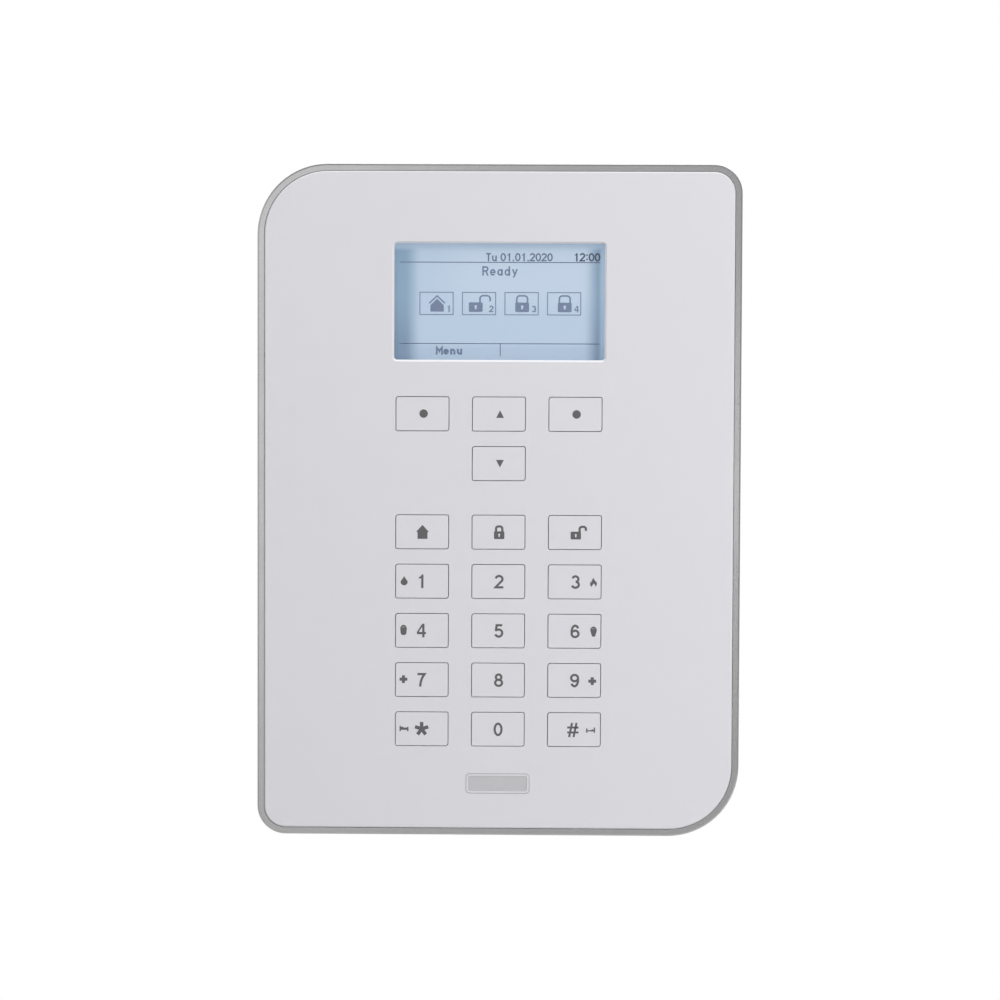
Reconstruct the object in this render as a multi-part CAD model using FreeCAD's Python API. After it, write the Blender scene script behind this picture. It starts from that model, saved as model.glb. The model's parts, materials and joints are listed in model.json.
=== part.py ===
"""Wall-mounted alarm keypad panel, as an assembly of separate parts.

Frame: origin at the centre of the flat back that lies on the wall, +Z up, +X to the viewer's right,
and the front faces -Y. All lengths are in millimetres.

The panel is a clamshell. The rear case screws to the wall and carries the main board, batteries, power
module and siren. The front cover hangs on two curved hooks along its top edge, swings up about the
parting line, and carries the display, the keypad board and nineteen sprung keys.
"""

import FreeCAD, Part  # noqa: E401

import math
import os

V = FreeCAD.Vector

# ---------------------------------------------------------------- driving dimensions
WIDTH = 205.0
HEIGHT = 285.0
DEPTH = 50.0
LARGE_CORNER = 30.0  # top left and bottom right, seen from the front
SMALL_CORNER = 12.0  # top right and bottom left

# depth stations, measured along Y from the wall at 0 towards the front at -DEPTH
PANEL_BACK = -(DEPTH - 2.0)
TRIM_FRONT = -(DEPTH - 0.8)
TRIM_BACK = -38.0
FACE_BACK = -46.0  # inside of the front cover's face
PARTING = -20.0  # where the front cover meets the rear case
PARTING_GAP = 0.2
FLOOR = -2.4  # inside of the rear case's back wall

# insets of each layer from the outer outline
TRIM_LIP = 2.8
TRIM_WALL = 1.6
PANEL_GAP = 0.3  # dark line between the metal ring and the face plate
PANEL_INSET = TRIM_LIP + PANEL_GAP
COVER_NECK = TRIM_WALL + 0.15
SHELL_INSET = 0.9
COVER_INNER = 3.6
CASE_INNER = 3.3
LIP_OUTER = 3.9
LIP_INNER = 5.2

# keys
KEY_WIDTH = 22.2
KEY_HEIGHT = 14.2
KEY_GAP = 0.3
KEY_ROUND = 1.0  # top left and bottom right corners, like the housing's
KEY_SHARP = 0.5
KEY_TRAVEL = 0.8
COLUMN_PITCH = 32.4
ROW_PITCH = 21.0
FIRST_ROW = 37.0  # height of the menu keys
DIGIT_ROW = -13.1  # height of the row of arming keys
FLANGE = 1.6  # how far a key's flange reaches past its cap

# display
WINDOW_WIDTH = 89.0
WINDOW_HEIGHT = 49.2
WINDOW_Z = 84.5
WINDOW_CORNER = 1.2
WINDOW_BEVEL = 0.8

# boards
BOARD_T = 1.6
KEYPAD_BOARD_FRONT = -40.8
MAIN_BOARD_FRONT = -10.6
MAIN_BOARD_X = 62.0
MAIN_BOARD_Z = (-8.0, 122.0)

# hinge of the front cover: the outer top edge of the parting line
HINGE_Y = PARTING
HINGE_Z = HEIGHT / 2 - SHELL_INSET
HOOK_X = 45.0
HOOK_WIDTH = 10.0
HOOK_R = (8.3, 10.3)

# fixings
WALL_HOLE_R = 2.3
WALL_HOLES = [(sx * 75.0, sz * 110.0) for sx in (-1, 1) for sz in (-1, 1)]
COVER_SCREW_X = 62.0
COVER_SCREW_Y = -26.0

OUT = "parts"


# ---------------------------------------------------------------- shape helpers
def corner_wire(width, height, radii, y, cx=0.0, cz=0.0):
    """Rounded rectangle in the plane at y. radii run top left, top right, bottom right, bottom left."""
    left, right = cx - width / 2, cx + width / 2
    low, high = cz - height / 2, cz + height / 2
    tl, tr, br, bl = radii
    centres = [
        (left + tl, high - tl, tl, 180),
        (right - tr, high - tr, tr, 90),
        (right - br, low + br, br, 0),
        (left + bl, low + bl, bl, -90),
    ]

    def on_arc(x, z, r, degrees):
        a = math.radians(degrees)
        return V(x + r * math.cos(a), y, z + r * math.sin(a))

    edges = []
    ends = []
    for x, z, r, start in centres:
        first, middle, last = (on_arc(x, z, r, start - turn) for turn in (0, 45, 90))
        edges.append(Part.Arc(first, middle, last).toShape())
        ends.append((first, last))
    for n in range(4):
        edges.append(Part.LineSegment(ends[n][1], ends[(n + 1) % 4][0]).toShape())
    return Part.Wire(Part.__sortEdges__(edges))


def slab(width, height, radii, y0, y1, cx=0.0, cz=0.0):
    """Rounded rectangle block from y0 to y1."""
    return Part.Face(corner_wire(width, height, radii, y0, cx, cz)).extrude(V(0, y1 - y0, 0))


def even(width, height, r, y0, y1, cx=0.0, cz=0.0):
    """Block whose four corners share one radius."""
    return slab(width, height, (r, r, r, r), y0, y1, cx, cz)


def body_slab(inset, y0, y1):
    """Block with the housing's outline, drawn in by inset."""
    big, small = LARGE_CORNER - inset, SMALL_CORNER - inset
    return slab(WIDTH - 2 * inset, HEIGHT - 2 * inset, (big, small, big, small), y0, y1)


def ring(outer, inner, y0, y1):
    """Band between two insets of the housing's outline."""
    return body_slab(outer, y0, y1).cut(body_slab(inner, y0 - 1, y1 + 1))


def box(x0, x1, y0, y1, z0, z1):
    return Part.makeBox(x1 - x0, y1 - y0, z1 - z0, V(x0, y0, z0))


def block(cx, cz, width, height, y0, y1):
    """Plain block centred on (cx, cz)."""
    return box(cx - width / 2, cx + width / 2, y0, y1, cz - height / 2, cz + height / 2)


def rod(r, y0, y1, x, z):
    """Cylinder along Y."""
    return Part.makeCylinder(r, y1 - y0, V(x, y0, z), V(0, 1, 0))


def edges_on(shape, y):
    """Edges that lie in the plane at y."""
    near = 1e-4
    return [
        e
        for e in shape.Edges
        if abs(e.BoundBox.YMin - y) < near and abs(e.BoundBox.YMax - y) < near
    ]


def within(edges, x0, x1, z0, z1):
    """Those of the edges that lie inside a rectangle."""
    return [
        e
        for e in edges
        if x0 <= e.BoundBox.XMin and e.BoundBox.XMax <= x1 and z0 <= e.BoundBox.ZMin and e.BoundBox.ZMax <= z1
    ]


def soften(shape, y, r):
    """Round all edges in the plane at y."""
    return shape.makeFillet(r, edges_on(shape, y))


def fuse(shapes):
    return shapes[0].multiFuse(shapes[1:]).removeSplitter()


def cross_screw(x, z, head_y, length, r=1.4, head_r=2.8, head_t=1.9):
    """Pan-head screw that points along +Y, its head's underside at head_y."""
    head = rod(head_r, head_y - head_t, head_y, x, z)
    head = head.makeFillet(0.7, edges_on(head, head_y - head_t))
    shank = rod(r, head_y, head_y + length, x, z)
    slot = 0.75
    reach = head_r * 0.62
    recess = block(x, z, 2 * reach, slot, head_y - head_t - 1, head_y - head_t + 1.1)
    recess = recess.fuse(block(x, z, slot, 2 * reach, head_y - head_t - 1, head_y - head_t + 1.1))
    return head.fuse(shank).cut(recess)


def tube(points, r, bend):
    """Round wire along the points, each corner bent to a radius."""
    runs = []
    start = points[0]
    for before, corner, after in zip(points, points[1:], points[2:]):
        back = (before - corner).normalize()
        on = (after - corner).normalize()
        half = back.getAngle(on) / 2
        inwards = (back + on).normalize()
        centre = corner + inwards * (bend / math.sin(half))
        first = corner + back * (bend / math.tan(half))
        last = corner + on * (bend / math.tan(half))
        runs.append(Part.LineSegment(start, first).toShape())
        runs.append(Part.Arc(first, centre - inwards * bend, last).toShape())
        start = last
    runs.append(Part.LineSegment(start, points[-1]).toShape())
    section = Part.Wire(Part.Circle(points[0], points[1] - points[0], r).toShape())
    return Part.Wire(runs).makePipeShell([section], True, False)


def quad_chip(x, z, size, pins, y_top, height=1.6):
    """Square chip on a board whose front is at y_top, with gull-wing legs on four sides."""
    body = block(x, z, size, size, y_top - height, y_top - 0.15)
    body = body.makeChamfer(0.25, edges_on(body, y_top - height))
    pitch = size * 0.86 / (pins - 1)
    leg, reach = pitch * 0.5, 1.3
    solids = [body]
    for n in range(pins):
        at = -size * 0.43 + n * pitch
        for side in (-1, 1):
            edge = side * (size / 2 + reach / 2 - 0.1)
            solids.append(block(x + edge, z + at, reach, leg, y_top - 0.4, y_top))
            solids.append(block(x + at, z + edge, leg, reach, y_top - 0.4, y_top))
    return fuse(solids)


def save(name, shapes):
    """Write one node. shapes is a solid or a list of separate solids."""
    shape = Part.makeCompound(shapes) if isinstance(shapes, list) else shapes
    for s in shape.Solids:
        if not s.isValid() or s.Volume <= 0:
            raise ValueError(f"{name}: a solid isn't valid")
    shape.exportStep(os.path.join(OUT, name + ".step"))


# ---------------------------------------------------------------- layout
def key_places():
    """(name, x, z) of every key."""
    left, middle, right = -COLUMN_PITCH, 0.0, COLUMN_PITCH
    second = FIRST_ROW - ROW_PITCH
    places = [
        ("key_menu_left", left, FIRST_ROW),
        ("key_up", middle, FIRST_ROW),
        ("key_menu_right", right, FIRST_ROW),
        ("key_down", middle, second),
    ]
    rows = [
        ("home", "lock", "unlock"),
        ("1", "2", "3"),
        ("4", "5", "6"),
        ("7", "8", "9"),
        ("star", "0", "hash"),
    ]
    for n, row in enumerate(rows):
        for x, label in zip((left, middle, right), row):
            places.append(("key_" + label, x, DIGIT_ROW - n * ROW_PITCH))
    return places


KEYPAD_BOARD_POSTS = [(sx * 60.0, z) for sx in (-1, 1) for z in (110.0, 5.0, -102.0)]
MAIN_BOARD_POSTS = [(sx * 56.0, z) for sx in (-1, 1) for z in (104.0, 20.0)]
COVER_TAMPER = (80.0, 40.0)
WALL_TAMPER = (-80.0, 5.0)
BADGE_Z = -120.3
BADGE_WIDTH = 27.0
BADGE_HEIGHT = 8.4
CABLE_ENTRY_Z = -48.0
CABLE_ENTRY = (56.0, 28.0)
SIREN = (41.0, -108.0)
SIREN_R = 20.0


# ---------------------------------------------------------------- front assembly
def key_shape(grow, y0, y1, x, z):
    """Block with a key's outline, grown by grow."""
    rounded, sharp = KEY_ROUND + grow, KEY_SHARP + grow
    radii = (rounded, sharp, rounded, sharp)
    return slab(KEY_WIDTH + 2 * grow, KEY_HEIGHT + 2 * grow, radii, y0, y1, x, z)


def trim_frame():
    """Metal ring that borders the front and wraps the cover's edge."""
    outer = body_slab(0, TRIM_FRONT, TRIM_BACK)
    outer = soften(outer, TRIM_FRONT, 0.7)
    outer = outer.makeChamfer(0.3, edges_on(outer, TRIM_BACK))
    frame = outer.cut(body_slab(TRIM_LIP, TRIM_FRONT - 1, TRIM_BACK + 1))
    return frame.cut(body_slab(TRIM_WALL, PANEL_BACK, TRIM_BACK + 1))


def front_panel():
    """White face plate with the display window and key openings."""
    panel = body_slab(PANEL_INSET, -DEPTH, PANEL_BACK)
    panel = panel.makeChamfer(0.45, edges_on(panel, -DEPTH))
    window = even(WINDOW_WIDTH, WINDOW_HEIGHT, WINDOW_CORNER, -DEPTH - 1, PANEL_BACK + 1, 0, WINDOW_Z)
    panel = panel.cut(window)
    reach = WINDOW_WIDTH / 2 + 0.1
    around = within(edges_on(panel, -DEPTH), -reach, reach, WINDOW_Z - 25, WINDOW_Z + 25)
    panel = panel.makeChamfer(WINDOW_BEVEL, around)
    holes = [key_shape(KEY_GAP, -DEPTH - 1, PANEL_BACK + 1, x, z) for _, x, z in key_places()]
    panel = panel.cut(Part.makeCompound(holes))
    keypad = within(edges_on(panel, -DEPTH), -50, 50, -106, 46)
    panel = panel.makeFillet(0.1, keypad)
    seat = even(BADGE_WIDTH + 0.2, BADGE_HEIGHT + 0.2, 1.7, -DEPTH - 1, -DEPTH + 0.5, 0, BADGE_Z)
    return panel.cut(seat)


def badge_plate():
    """Blank plate set flush below the keys, its middle slightly dished."""
    plate = even(BADGE_WIDTH, BADGE_HEIGHT, 1.6, -DEPTH, -DEPTH + 0.5, 0, BADGE_Z)
    plate = soften(plate, -DEPTH, 0.1)
    border = 0.8
    field_width, field_height = BADGE_WIDTH - 2 * border, BADGE_HEIGHT - 2 * border
    field = even(field_width, field_height, 0.9, -DEPTH - 1, -DEPTH + 0.12, 0, BADGE_Z)
    return plate.cut(field)


def front_cover():
    """Shell that carries everything in the front half."""
    neck = body_slab(COVER_NECK, PANEL_BACK, TRIM_BACK + 0.1)
    skirt = body_slab(SHELL_INSET, TRIM_BACK + 0.1, PARTING - PARTING_GAP / 2)
    skirt = soften(skirt, PARTING - PARTING_GAP / 2, 0.4)
    cover = neck.fuse(skirt).cut(body_slab(COVER_INNER, FACE_BACK, PARTING + 1))

    cuts = [even(93.4, 53.4, 1.0, PANEL_BACK - 1, FACE_BACK + 1, 0, WINDOW_Z)]
    cuts += [key_shape(0.45, PANEL_BACK - 1, FACE_BACK + 1, x, z) for _, x, z in key_places()]
    posts = [rod(3.5, FACE_BACK - 0.5, KEYPAD_BOARD_FRONT, x, z) for x, z in KEYPAD_BOARD_POSTS]
    cuts += [rod(1.3, FACE_BACK + 0.6, KEYPAD_BOARD_FRONT + 1, x, z) for x, z in KEYPAD_BOARD_POSTS]

    tx, tz = COVER_TAMPER
    pusher = rod(3.0, FACE_BACK - 0.5, -24.1, tx, tz)
    webs = [block(tx, tz, w, h, FACE_BACK - 0.5, -30.0) for w, h in ((1.4, 13.0), (13.0, 1.4))]
    ribs = []
    for x in (-88.0, -72.0, 72.0, 88.0):
        ribs.append(block(x, -30.0, 1.4, 190.0, FACE_BACK - 0.5, -43.0))
    ribs.append(block(0, 124.0, 120.0, 1.4, FACE_BACK - 0.5, -43.0))
    ribs.append(block(0, -122.0, 150.0, 1.4, FACE_BACK - 0.5, -43.0))

    cover = fuse([cover, *posts, pusher, *webs, *ribs, *[cover_hook(sx * HOOK_X) for sx in (-1, 1)]])
    pads = []
    for sx in (-1, 1):
        x = sx * COVER_SCREW_X
        pads.append(box(x - 6.5, x + 6.5, -33.0, PARTING - 0.5, -HEIGHT / 2 + SHELL_INSET + 0.8, -137.5))
        cuts.append(screw_slot(x))
    return fuse([cover, *pads]).cut(Part.makeCompound(cuts))


def sector(x, width, r0, r1, start, end):
    """Curved block about the hinge line. Angles run from straight down towards the wall."""
    def at(r, degrees):
        a = math.radians(degrees)
        return V(x - width / 2, HINGE_Y + r * math.sin(a), HINGE_Z - r * math.cos(a))

    middle = (start + end) / 2
    outer = Part.Arc(at(r1, start), at(r1, middle), at(r1, end)).toShape()
    far = Part.LineSegment(at(r1, end), at(r0, end)).toShape()
    near = Part.LineSegment(at(r0, start), at(r1, start)).toShape()
    if r0 > 0:
        inner = Part.Arc(at(r0, end), at(r0, middle), at(r0, start)).toShape()
        wire = Part.Wire([outer, far, inner, near])
    else:
        wire = Part.Wire([outer, far, near])
    return Part.Face(wire).extrude(V(width, 0, 0))


def cover_hook(x):
    """Curved tongue that reaches behind the rear case's top edge and turns about the hinge line."""
    return sector(x, HOOK_WIDTH, HOOK_R[0], HOOK_R[1], -78, 68)


def screw_slot(x):
    """Open-ended slot for a retaining screw's shank and head, in the cover's bottom edge."""
    bottom = -HEIGHT / 2
    end = PARTING + 1
    shank = box(x - 1.8, x + 1.8, COVER_SCREW_Y, end, bottom, -136.0)
    shank = shank.fuse(Part.makeCylinder(1.8, 8, V(x, COVER_SCREW_Y, bottom)))
    head = box(x - 3.3, x + 3.3, COVER_SCREW_Y, end, bottom - 1, -139.4)
    head = head.fuse(Part.makeCylinder(3.3, 4.1, V(x, COVER_SCREW_Y, bottom - 1)))
    return shank.fuse(head)


def display_window():
    """Clear pane behind the window opening."""
    pane = even(93.0, 53.0, 0.9, PANEL_BACK, -46.6, 0, WINDOW_Z)
    return soften(pane, -46.6, 0.2)


def display_frame():
    """Holder that clips the display cell and its light guide together."""
    frame = even(100.0, 62.0, 2.0, -45.9, KEYPAD_BOARD_FRONT - 0.1, 0, WINDOW_Z)
    frame = frame.cut(even(90.4, 50.6, 0.6, -47, -40, 0, WINDOW_Z))
    frame = frame.cut(even(96.0, 57.0, 0.5, -45.3, -40, 0, WINDOW_Z))
    clips = [block(sx * 49.0, WINDOW_Z + dz, 4.0, 7.0, -43.6, -41.0) for sx in (-1, 1) for dz in (-18, 18)]
    return frame.cut(Part.makeCompound([c.cut(block(0, WINDOW_Z, 98.0, 70.0, -44, -40)) for c in clips]))


def display_glass():
    """Two bonded sheets of glass, the rear one longer to carry the contacts."""
    front = even(95.0, 52.6, 0.4, -45.2, -44.3, 0, WINDOW_Z + 1.6)
    rear = even(95.6, 56.6, 0.4, -44.3, -43.4, 0, WINDOW_Z)
    return front.fuse(rear)


def display_backlight():
    """Light guide behind the display cell, wedge-edged where its lamps feed it."""
    guide = even(95.6, 56.6, 1.0, -43.3, -41.0, 0, WINDOW_Z)
    return guide.makeChamfer(0.5, edges_on(guide, -41.0))


def key_cap(x, z):
    """Key: a hollow cap with a retaining flange and a stem over its dome."""
    top = -DEPTH
    cap = key_shape(0, top, FACE_BACK + 0.2, x, z)
    cap = soften(cap, top, 0.22)
    flange_width, flange_height = KEY_WIDTH + 2 * FLANGE, KEY_HEIGHT + 2 * FLANGE
    flange = even(flange_width, flange_height, 1.6, FACE_BACK + 0.05, FACE_BACK + 1.05, x, z)
    hollow = even(KEY_WIDTH - 3.2, KEY_HEIGHT - 3.2, 0.8, top + 1.6, FACE_BACK + 2, x, z)
    stem = rod(2.2, top + 1.0, -43.7, x, z)
    ribs = [
        block(x, z, KEY_WIDTH - 2.0, 1.0, top + 1.0, FACE_BACK),
        block(x, z, 1.0, KEY_HEIGHT - 2.0, top + 1.0, FACE_BACK),
    ]
    return fuse([cap.fuse(flange).cut(hollow), stem, *ribs])


def key_guide():
    """Grid that keeps each key square and spaces the board from the cover's face."""
    low, high = -108.6, 48.5
    grid = even(108.0, high - low, 2.0, FACE_BACK, KEYPAD_BOARD_FRONT - 0.8, 0, (low + high) / 2)
    wells = [even(KEY_WIDTH + 2 * FLANGE + 0.6, KEY_HEIGHT + 2 * FLANGE + 0.6, 1.8, -47, -41, x, z)
             for _, x, z in key_places()]
    lighten = [even(22.0, 14.0, 2.0, -47, -41, sx * COLUMN_PITCH, FIRST_ROW - ROW_PITCH) for sx in (-1, 1)]
    return grid.cut(Part.makeCompound(wells + lighten))


def keypad_mat():
    """Silicone sheet with one hollow dome under each key."""
    low, high = -108.0, 48.0
    back = KEYPAD_BOARD_FRONT
    sheet = even(107.0, high - low, 2.0, back - 0.8, back, 0, (low + high) / 2)
    domes = []
    hollows = []
    for _, x, z in key_places():
        domes.append(Part.makeCone(2.2, 4.2, 1.3, V(x, back - 2.0, z), V(0, 1, 0)))
        hollows.append(Part.makeCone(1.4, 3.4, 1.5, V(x, back - 1.4, z), V(0, 1, 0)))
    return fuse([sheet, *domes]).cut(Part.makeCompound(hollows))


def keypad_board():
    """Board behind the keys and display."""
    board = even(128.0, 228.0, 3.0, KEYPAD_BOARD_FRONT, KEYPAD_BOARD_FRONT + BOARD_T, 0, 4.0)
    return board.cut(Part.makeCompound([rod(1.7, -42, -38, x, z) for x, z in KEYPAD_BOARD_POSTS]))


def keypad_board_screws():
    """Screws that hold the keypad board, their heads towards the wall."""
    screws = []
    for x, z in KEYPAD_BOARD_POSTS:
        screw = cross_screw(0, 0, 0, 5.0, r=1.25)
        screw.rotate(V(0, 0, 0), V(0, 0, 1), 180)
        screw.translate(V(x, KEYPAD_BOARD_FRONT + BOARD_T, z))
        screws.append(screw)
    return screws


def keypad_board_chips():
    """Display driver, keypad controller and parts on the back of the keypad board."""
    back = KEYPAD_BOARD_FRONT + BOARD_T
    chips = [quad_chip(0, 0, 14.0, 12, 0), quad_chip(30.0, -60.0, 10.0, 9, 0)]
    for x in (-30.0, -24.0, 20.0, 26.0):
        chips += [block(x, z, 3.2, 1.6, -0.9, 0) for z in (20.0, 30.0, -20.0)]
    for chip in chips:
        chip.rotate(V(0, 0, 0), V(0, 0, 1), 180)
        chip.translate(V(0, back, 0))
    return chips


def ribbon_socket(y_board, towards):
    """Shrouded socket for the ribbon cable, standing off a board towards -Y (-1) or +Y (1)."""
    height = 6.0
    y0, y1 = sorted((y_board, y_board + towards * height))
    shroud = block(0, 111.0, 28.0, 6.4, y0, y1)
    pocket_y = sorted((y_board + towards * 1.4, y_board + towards * (height + 1)))
    return shroud.cut(block(0, 111.0, 24.6, 3.2, *pocket_y))


def ribbon_cable():
    """Flat cable that loops from the main board to the keypad board beside the hinge line."""
    half_width, thickness = 11.0, 0.5
    rear, front, foot, crown = -21.0, -30.0, 111.0, 126.0
    turn = 2.5
    loop = (rear - front) / 2
    short = turn * (1 - math.cos(math.radians(45)))  # how far a turn's middle is from its tangents

    def p(y, z):
        return V(-half_width, y, z)

    rear_end = p(MAIN_BOARD_FRONT - 3.0, foot)
    front_end = p(KEYPAD_BOARD_FRONT + BOARD_T + 3.0, foot)
    runs = [
        Part.LineSegment(rear_end, p(rear + turn, foot)).toShape(),
        Part.Arc(p(rear + turn, foot), p(rear + short, foot + short), p(rear, foot + turn)).toShape(),
        Part.LineSegment(p(rear, foot + turn), p(rear, crown)).toShape(),
        Part.Arc(p(rear, crown), p((rear + front) / 2, crown + loop), p(front, crown)).toShape(),
        Part.LineSegment(p(front, crown), p(front, foot + turn)).toShape(),
        Part.Arc(p(front, foot + turn), p(front - short, foot + short), p(front - turn, foot)).toShape(),
        Part.LineSegment(p(front - turn, foot), front_end).toShape(),
    ]
    path = Part.Wire(runs)
    t = thickness / 2
    section = Part.makePolygon([
        V(-half_width, rear_end.y, foot - t),
        V(half_width, rear_end.y, foot - t),
        V(half_width, rear_end.y, foot + t),
        V(-half_width, rear_end.y, foot + t),
        V(-half_width, rear_end.y, foot - t),
    ])
    return path.makePipeShell([section], True, False, 2)


# ---------------------------------------------------------------- rear assembly
def rear_case():
    """Tray that screws to the wall, with the posts, guides and lips that hold the rear parts."""
    edge = PARTING + PARTING_GAP / 2
    outer = body_slab(SHELL_INSET, edge, 0)
    outer = outer.makeFillet(3.2, edges_on(outer, 0))
    outer = soften(outer, edge, 0.4)
    case = outer.cut(body_slab(CASE_INNER, edge - 1, FLOOR))

    lip = ring(CASE_INNER - 0.3, LIP_INNER, edge + 0.3, edge + 3.5)
    lip = lip.fuse(ring(LIP_OUTER, LIP_INNER, PARTING - 3.0, edge + 0.4))
    gates = [block(sx * HOOK_X, HEIGHT / 2 - 6, HOOK_WIDTH + 4, 8.0, -25, -8) for sx in (-1, 1)]
    gates += [block(sx * COVER_SCREW_X, -HEIGHT / 2 + 6, 16.0, 8.0, -25, PARTING) for sx in (-1, 1)]
    lip = lip.cut(Part.makeCompound(gates))

    posts = [rod(3.5, MAIN_BOARD_FRONT + BOARD_T, FLOOR + 0.5, x, z) for x, z in MAIN_BOARD_POSTS]
    bosses = [rod(6.0, FLOOR - 1.6, FLOOR + 0.5, x, z) for x, z in WALL_HOLES]
    beads = [sector(sx * HOOK_X, HOOK_WIDTH + 3, 0, HOOK_R[0] - 0.3, 3, 62) for sx in (-1, 1)]
    wx, wz = WALL_TAMPER
    cx, cz = COVER_TAMPER
    towers = [rod(6.5, -12.5, FLOOR + 0.5, wx, wz), block(cx, cz, 13.0, 13.0, -13.0, FLOOR + 0.5)]
    tabs = []
    for sx in (-1, 1):
        x = sx * COVER_SCREW_X
        tabs.append(box(x - 5.5, x + 5.5, -31.0, -15.0, -137.0, -131.5))
        tabs.append(box(x - 5.5, x + 5.5, edge, -15.0, -139.6, -131.5))
    walls = battery_walls()
    cradle = rod(SIREN_R + 1.9, -8.0, FLOOR + 0.5, *SIREN).cut(rod(SIREN_R + 0.4, -9.0, FLOOR, *SIREN))
    speaker_rails = [box(-99.5, -90.0, -12.0, FLOOR + 0.5, z - 0.8, z + 0.8) for z in (16.8, 59.2)]
    ribs = [block(0, z, 120.0, 1.6, FLOOR - 2.4, FLOOR + 0.5) for z in (-78.0, -12.5)]
    case = fuse([case, lip, *posts, *bosses, *beads, *towers, *tabs, *walls, cradle, *speaker_rails, *ribs])

    cuts = [rod(WALL_HOLE_R, -10, 1, x, z) for x, z in WALL_HOLES]
    cuts += [Part.makeCone(4.6, WALL_HOLE_R, 2.2, V(x, FLOOR - 1.6, z), V(0, 1, 0)) for x, z in WALL_HOLES]
    cuts += [rod(1.3, MAIN_BOARD_FRONT, FLOOR - 0.4, x, z) for x, z in MAIN_BOARD_POSTS]
    cuts.append(even(*CABLE_ENTRY, 3.0, -10, 1, 0, CABLE_ENTRY_Z))
    cuts.append(even(CABLE_ENTRY[0] + 12, CABLE_ENTRY[1] + 12, 5.0, -1.0, 1, 0, CABLE_ENTRY_Z))
    cuts += [rod(4.5, -14, -2.9, wx, wz), rod(2.6, -4, 1, wx, wz)]
    for sx in (-1, 1):
        cuts.append(Part.makeCylinder(1.35, 14, V(sx * COVER_SCREW_X, COVER_SCREW_Y, -140)))
    cuts += sound_slots()
    return case.cut(Part.makeCompound(cuts))


BATTERY_X = (40.0, 94.0)
BATTERY_Z = (-74.0, -18.0)
BATTERY_FRONT = -14.4


def battery_walls():
    """Low corner walls that locate both battery packs."""
    inner, outer = BATTERY_X
    low, high = BATTERY_Z
    gap, t, leg, top = 0.4, 1.4, 12.0, -7.0
    walls = []
    for sx in (-1, 1):
        for z, up in ((low - gap, -1), (high + gap, 1)):
            for x, out in ((inner - gap, -1), (outer + gap, 1)):
                z0, z1 = sorted((z, z + up * t))
                x0, x1 = sorted((sx * (x + out * t), sx * (x - out * leg)))
                walls.append(box(x0, x1, top, FLOOR + 0.5, z0, z1))
    return walls


def sound_slots():
    """Slots in the bottom wall for the siren, the left wall for the speaker and the top wall for air."""
    slots = []
    for n in range(9):
        slots.append(box(21.0 + 3.4 * n, 22.6 + 3.4 * n, -15.0, -5.5, -HEIGHT / 2, -135.0))
    for n in range(9):
        z = 24.4 + 3.4 * n
        slots.append(box(-WIDTH / 2, -97.0, -15.0, -5.5, z - 0.8, z + 0.8))
    for n in range(11):
        x = -17.0 + 3.4 * n
        slots.append(box(x - 0.8, x + 0.8, -14.0, -6.5, 137.0, HEIGHT / 2))
    return slots


def cable_grommet():
    """Rubber edging round the cable entry."""
    w, h = CABLE_ENTRY
    z = CABLE_ENTRY_Z
    web = even(w - 0.2, h - 0.2, 2.9, -3.6, -0.3, 0, z)
    inside = even(w + 5.0, h + 5.0, 4.5, -3.6, FLOOR, 0, z)
    outside = even(w + 5.0, h + 5.0, 4.5, -1.0, -0.3, 0, z)
    grommet = fuse([web, soften(inside, -3.6, 0.5), outside])
    return grommet.cut(even(w - 4.0, h - 4.0, 1.5, -6, 1, 0, z))


def main_board():
    """Board with the radio, processor and terminals."""
    low, high = MAIN_BOARD_Z
    back, middle = MAIN_BOARD_FRONT + BOARD_T, (low + high) / 2
    board = even(2 * MAIN_BOARD_X, high - low, 3.0, MAIN_BOARD_FRONT, back, 0, middle)
    return board.cut(Part.makeCompound([rod(1.7, -12, -8, x, z) for x, z in MAIN_BOARD_POSTS]))


def main_board_screws():
    return [cross_screw(x, z, MAIN_BOARD_FRONT, 6.5, r=1.25) for x, z in MAIN_BOARD_POSTS]


def radio_shield():
    """Pressed metal can over the radio, with cooling holes."""
    x, z = -38.0, 82.0
    top, wall, pitch = MAIN_BOARD_FRONT - 4.0, 0.4, 5.0
    can = soften(even(36.0, 30.0, 1.5, top, MAIN_BOARD_FRONT, x, z), top, 0.6)
    can = can.cut(even(36.0 - 2 * wall, 30.0 - 2 * wall, 1.1, top + wall, MAIN_BOARD_FRONT + 1, x, z))
    steps = range(-2, 3)
    holes = [rod(0.9, -16, -13, x + pitch * i, z + pitch * j) for i in steps for j in steps]
    return can.cut(Part.makeCompound(holes))


def antenna_wires():
    """One bent quarter-wave wire from each top corner of the main board."""
    y, z = MAIN_BOARD_FRONT - 2.5, 119.0
    wires = []
    for foot, side in ((-52.0, -90.0), (52.0, 90.0)):
        points = [V(foot, MAIN_BOARD_FRONT, z), V(foot, y, z), V(side, y, z), V(side, y, 70.0)]
        wires.append(tube(points, 0.6, 1.2))
    return wires


def lead_wires(lift):
    """Leads of the battery packs, siren, power module and speaker, lift above the main board."""
    y = MAIN_BOARD_FRONT - lift
    low, high = BATTERY_Z
    pack = high + 2.6
    routes = [
        [(-67.0, pack), (-67.0, 12.0), (-50.0, 12.0)],
        [(67.0, pack), (67.0, 13.0), (53.0, 13.0)],
        [(37.2, -88.2), (37.2, 16.0)],
        [(-37.2, -98.0), (-37.2, -14.0), (-18.2, -14.0), (-18.2, 14.0)],
        [(-93.6, 30.0), (-61.0, 30.0)],
    ]
    return [tube([V(x, y, z) for x, z in route], 0.6, 2.5) for route in routes]


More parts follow.
